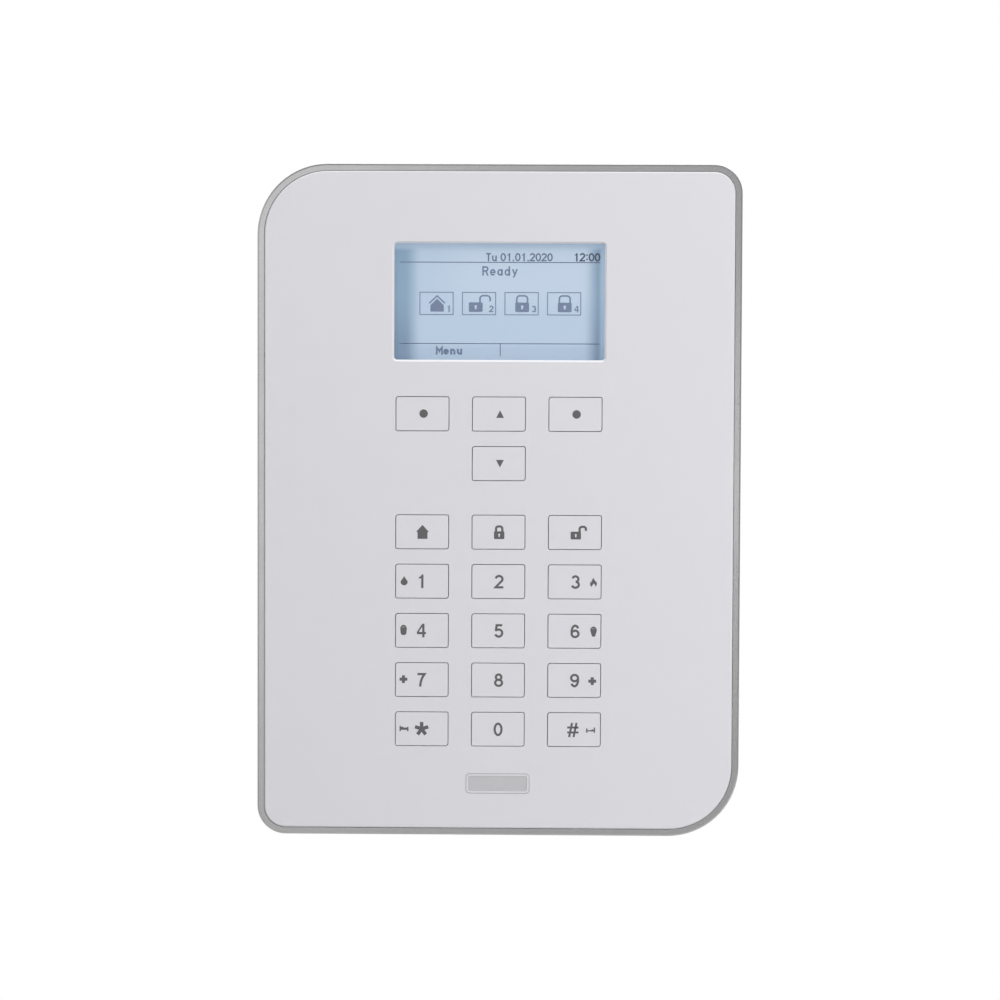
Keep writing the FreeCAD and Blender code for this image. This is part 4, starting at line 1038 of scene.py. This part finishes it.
def keypad_board_detail():
    """Small parts, contacts and print on the back of the keypad board."""
    board = SmallParts(KEYPAD_BOARD_Y, 1)
    rows = row(-12.0, 14.0, 10, 2.7, 0) + row(-12.0, -15.0, 10, 2.7, 0) + row(34.0, -40.0, 6, 2.7, 0)
    board.chips(rows, True, RESISTOR)
    columns = row(-16.5, -9.0, 8, 0, 2.6) + row(16.5, -9.0, 8, 0, 2.6) + row(-42.0, -68.0, 6, 0, 2.8)
    board.chips(columns, False, CERAMIC, CERAMIC_SIZE)
    for x, z in row(-48.0, 60.0, 10, 0, 5.0) + row(48.0, 60.0, 10, 0, 5.0):
        board.drum(x, z, 0.9, 0.0, 0.05, GOLD, 0.01, 20)
    for x in (-20.3, 20.3):
        board.small_outline(x, 44.0)
    board.coil(36.0, 40.0, 7.0, 3.6)
    for x, z in row(-13.0, 103.9, 11, 2.6, 0) + row(-13.0, 116.6, 11, 2.6, 0):
        board.drum(x, z, 0.55, 0.0, 0.35, SOLDER, 0.15, 12)
    board.finish("keypad_board_parts", "cover")
    frames = [
        (-8.9, 8.9, -8.9, 8.9), (-36.9, -23.1, -66.9, -53.1),  # chips
        (-15.0, 15.0, 106.8, 115.2),  # ribbon socket
        (-46.0, 46.0, 59.0, 102.0),  # display
    ]
    groups = [frame_loop(*corners, PRINT_LINE) for corners in frames]
    groups += [ring(x, z, 3.7, 3.7, PRINT_LINE) for x in (-60.0, 60.0) for z in (110.0, 5.0, -102.0)]
    stamp("keypad_board_print", "cover", SILK, KEYPAD_BOARD_Y + 0.012, groups)


def screw_face(x, z):
    """Two halves of a slotted screw head, as wide as the CAD heads and their slots."""
    r, slot = 1.66, 0.5
    dip = math.degrees(math.asin(slot / 2 / r))
    return [[arc(x, z, r, start + dip, start + 180 - dip, 14)] for start in (0, 180)]


def terminal_screws():
    """Plated faces of the clamping screws of the three terminal blocks."""
    low = [x + 5.08 * (n + 0.5) for x in (-56.0, -16.0) for n in range(7)]
    groups = [half for x in low for half in screw_face(x, 0.3)]
    stamp("terminal_screws", "rear", STEEL, TERMINAL_SCREW_Y, groups, 0.12)
    mains = [-15.5 - 6.35 * (n + 0.5) for n in range(3)]
    groups = [half for x in mains for half in screw_face(x, -89.3)]
    stamp("mains_screws", "rear", STEEL, MAINS_SCREW_Y, groups, 0.12)


def battery_labels():
    """Blank labels on the packs, and the marks of their poles."""
    for name in ("left", "right"):
        low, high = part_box("battery_" + name)
        x = (low[0] + high[0]) / 2 / MM
        plates = [[round_rect(x, -33.2, 44.0, 10.0, 1.2)], [round_rect(x, -62.6, 44.0, 15.0, 1.2)]]
        stamp("battery_label_" + name, "rear", LABEL, BATTERY_FRONT_Y - 0.02, plates, 0.06)
        marks = [moved(cross(3.0, 0.6), x - 17.0, -33.2)]
        marks += [[rect(x + 15.5, x + 18.5, -33.5, -32.9)]]
        marks += [frame_loop(x - 20.0, x + 20.0, -68.2, -57.0, 0.3)]
        marks += [[rect(x - 20.0, x + 20.0, z - 0.12, z + 0.12)] for z in (-60.7, -64.4)]
        stamp("battery_marks_" + name, "rear", LABEL_INK, BATTERY_FRONT_Y - 0.06, marks, 0.02)


def module_screws():
    """Screws at the corners of the power module's lid."""
    low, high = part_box("power_module")
    lid = SmallParts(low[1] / MM)
    inset = 4.6
    for x in (low[0] / MM + inset, high[0] / MM - inset):
        for z in (low[2] / MM + inset, high[2] / MM - inset):
            lid.drum(x, z, 2.0, 0.0, 0.7, STEEL, 0.35)
            lid.brick(x, z, 2.2, 0.5, 0.66, 0.72, MATERIALS["dark_plastic"], 0.01)
            lid.brick(x, z, 0.5, 2.2, 0.66, 0.72, MATERIALS["dark_plastic"], 0.01)
    lid.finish("module_screws", "rear")


def moulding_marks():
    """Rings that the mould's ejector pins leave on the rear case's floor."""
    pairs = ((72.0, 78.0), (72.0, 128.0), (62.0, -90.0))
    places = [(side * x, z) for side in (-1, 1) for x, z in pairs]
    places += [(0.0, -88.0), (10.0, -134.0)]
    groups = [ring(x, z, 3.2, 3.2, 0.35) for x, z in places]
    stamp("moulding_marks", "rear", MATERIALS["housing_white"], CASE_FLOOR_Y - 0.02, groups, 0.06)


def case_outline(inset):
    size = CASE_WIDTH - 2 * inset, CASE_HEIGHT - 2 * inset
    return round_rect(0, 0, *size, SMALL_CORNER - inset, LARGE_CORNER - inset, 16)


def back_marks():
    """Fine moulded lines on the flat back: rim, drilling marks, up arrow, knock-out and gates. They are
    a darker grey than the case: painted shade along their low ridges.
    """
    thin = 0.4
    groups = [[case_outline(7.0), case_outline(7.0 + thin)]]
    for x, z in [(sx * WALL_HOLE_X, sz * WALL_HOLE_Z) for sx in (-1, 1) for sz in (-1, 1)]:
        groups.append(ring(x, z, 5.6, 5.6, thin))
        for dx, dz in ((1, 0), (-1, 0), (0, 1), (0, -1)):
            tick = [(x + far * dx, z + far * dz) for far in (7.0, 10.5)]
            groups.append(pen(tick, thin))
    groups += [pen([(0, 104.0), (0, 117.4)], 0.9), pen([(-4.0, 113.6), (0, 117.6), (4.0, 113.6)], 0.9)]
    w, h, r = 40.0, 14.0, 4.0
    knock_out = [round_rect(0, -84.0, w - 2 * inset, h - 2 * inset, r - inset) for inset in (0, thin)]
    groups.append(knock_out)
    groups.append(ring(PLUNGER_X, PLUNGER_Z, 4.4, 4.4, thin))
    for z in (62.0, -22.0):
        for x in (-46.0, 46.0):
            groups += [ring(x, z, 1.9, 1.9, thin), [circle(x, z, 0.55)]]
    stamp("back_marks", "rear", PAINTED_SHADE_LINE, 0.0, groups, 0.04)


main_board_parts()
main_board_print()
keypad_board_detail()
terminal_screws()
battery_labels()
module_screws()
moulding_marks()
back_marks()


# -------------------- studio
def area_light(name, place, size, power, diffuse=True, gloss=True):
    """Softbox aimed at the origin, which may light only the diffuse or only the glossy side."""
    data = bpy.data.lights.new(name, "AREA")
    data.shape = "RECTANGLE"
    data.size, data.size_y = size
    data.energy = power
    light = bpy.data.objects.new(name, data)
    light.location = place
    light.visible_camera = False
    light.visible_diffuse = diffuse
    light.visible_glossy = gloss
    light.rotation_euler = (-Vector(place)).to_track_quat("-Z", "Y").to_euler()
    bpy.context.scene.collection.objects.link(light)


def backdrop():
    """White behind everything, and a weaker even light that is stronger in reflections."""
    world = bpy.data.worlds.new("studio")
    bpy.context.scene.world = world
    world.use_nodes = True
    tree = world.node_tree
    tree.nodes.clear()
    kinds = ("OutputWorld", "LightPath", "Background", "Background", "MixShader", "MapRange")
    out, ray, fill, seen, both, gloss = [tree.nodes.new("ShaderNode" + kind) for kind in kinds]
    fill.inputs["Color"].default_value = (0.985, 0.98, 1.0, 1)
    seen.inputs["Color"].default_value = (1, 1, 1, 1)
    gloss.inputs["To Min"].default_value = 0.23
    gloss.inputs["To Max"].default_value = 0.40
    for source, target in (
        (ray.outputs["Is Glossy Ray"], gloss.inputs["Value"]),
        (gloss.outputs[0], fill.inputs["Strength"]),
        (ray.outputs["Is Camera Ray"], both.inputs[0]),
        (fill.outputs[0], both.inputs[1]),
        (seen.outputs[0], both.inputs[2]),
        (both.outputs[0], out.inputs["Surface"]),
    ):
        tree.links.new(source, target)


def lights():
    area_light("key_light", (-0.25, -0.75, 1.5), (0.75, 0.75), 14.6, gloss=False)
    area_light("right_light", (1.1, -0.75, 0.15), (0.6, 0.8), 9.0, gloss=False)
    area_light("rim_light", (-0.31, -2.0, 0.14), (0.40, 1.05), 1.0, diffuse=False)
    area_light("glint_light", (0.21, -1.7, -0.06), (0.12, 0.16), 0.17, diffuse=False)
    area_light("corner_light", (0.20, -2.0, 0.27), (0.14, 0.10), 0.03, diffuse=False)
    area_light("side_light", (-2.0, -0.8, 0.5), (1.0, 1.6), 4)
    area_light("back_light", (0.4, 2.4, 1.2), (1.6, 1.2), 22)


def ground():
    bpy.ops.mesh.primitive_plane_add(size=1)
    floor = bpy.context.object
    floor.name = "floor"
    floor.scale = (3.4, 3.0, 1)
    floor.location = (0, -0.6, -0.42)
    floor.data.materials.append(plastic("floor_pale", (0.74, 0.74, 0.74), 0.7, 3.0, 0.01, 0.01))


def camera():
    """Long lens in front of the face, a little above it and to its right."""
    scene = bpy.context.scene
    lens, sensor, view_width = 110.0, 36.0, 0.424
    distance = view_width * lens / sensor
    above, right, roll = math.radians(2.75), math.radians(1.0), math.radians(0.22)
    target = Vector((0.0006, FACE_Y * MM, 0.0006))
    level = math.cos(above)
    out_from = Vector((math.sin(right) * level, -math.cos(right) * level, math.sin(above)))
    data = bpy.data.cameras.new("camera")
    data.lens = lens
    data.sensor_width = sensor
    view = bpy.data.objects.new("camera", data)
    view.location = target + out_from * distance
    look = (-out_from).to_track_quat("-Z", "Y").to_matrix() @ Matrix.Rotation(roll, 3, "Z")
    view.rotation_euler = look.to_euler()
    scene.collection.objects.link(view)
    scene.camera = view
    scene.view_settings.view_transform = "Standard"


backdrop()
lights()
ground()
camera()
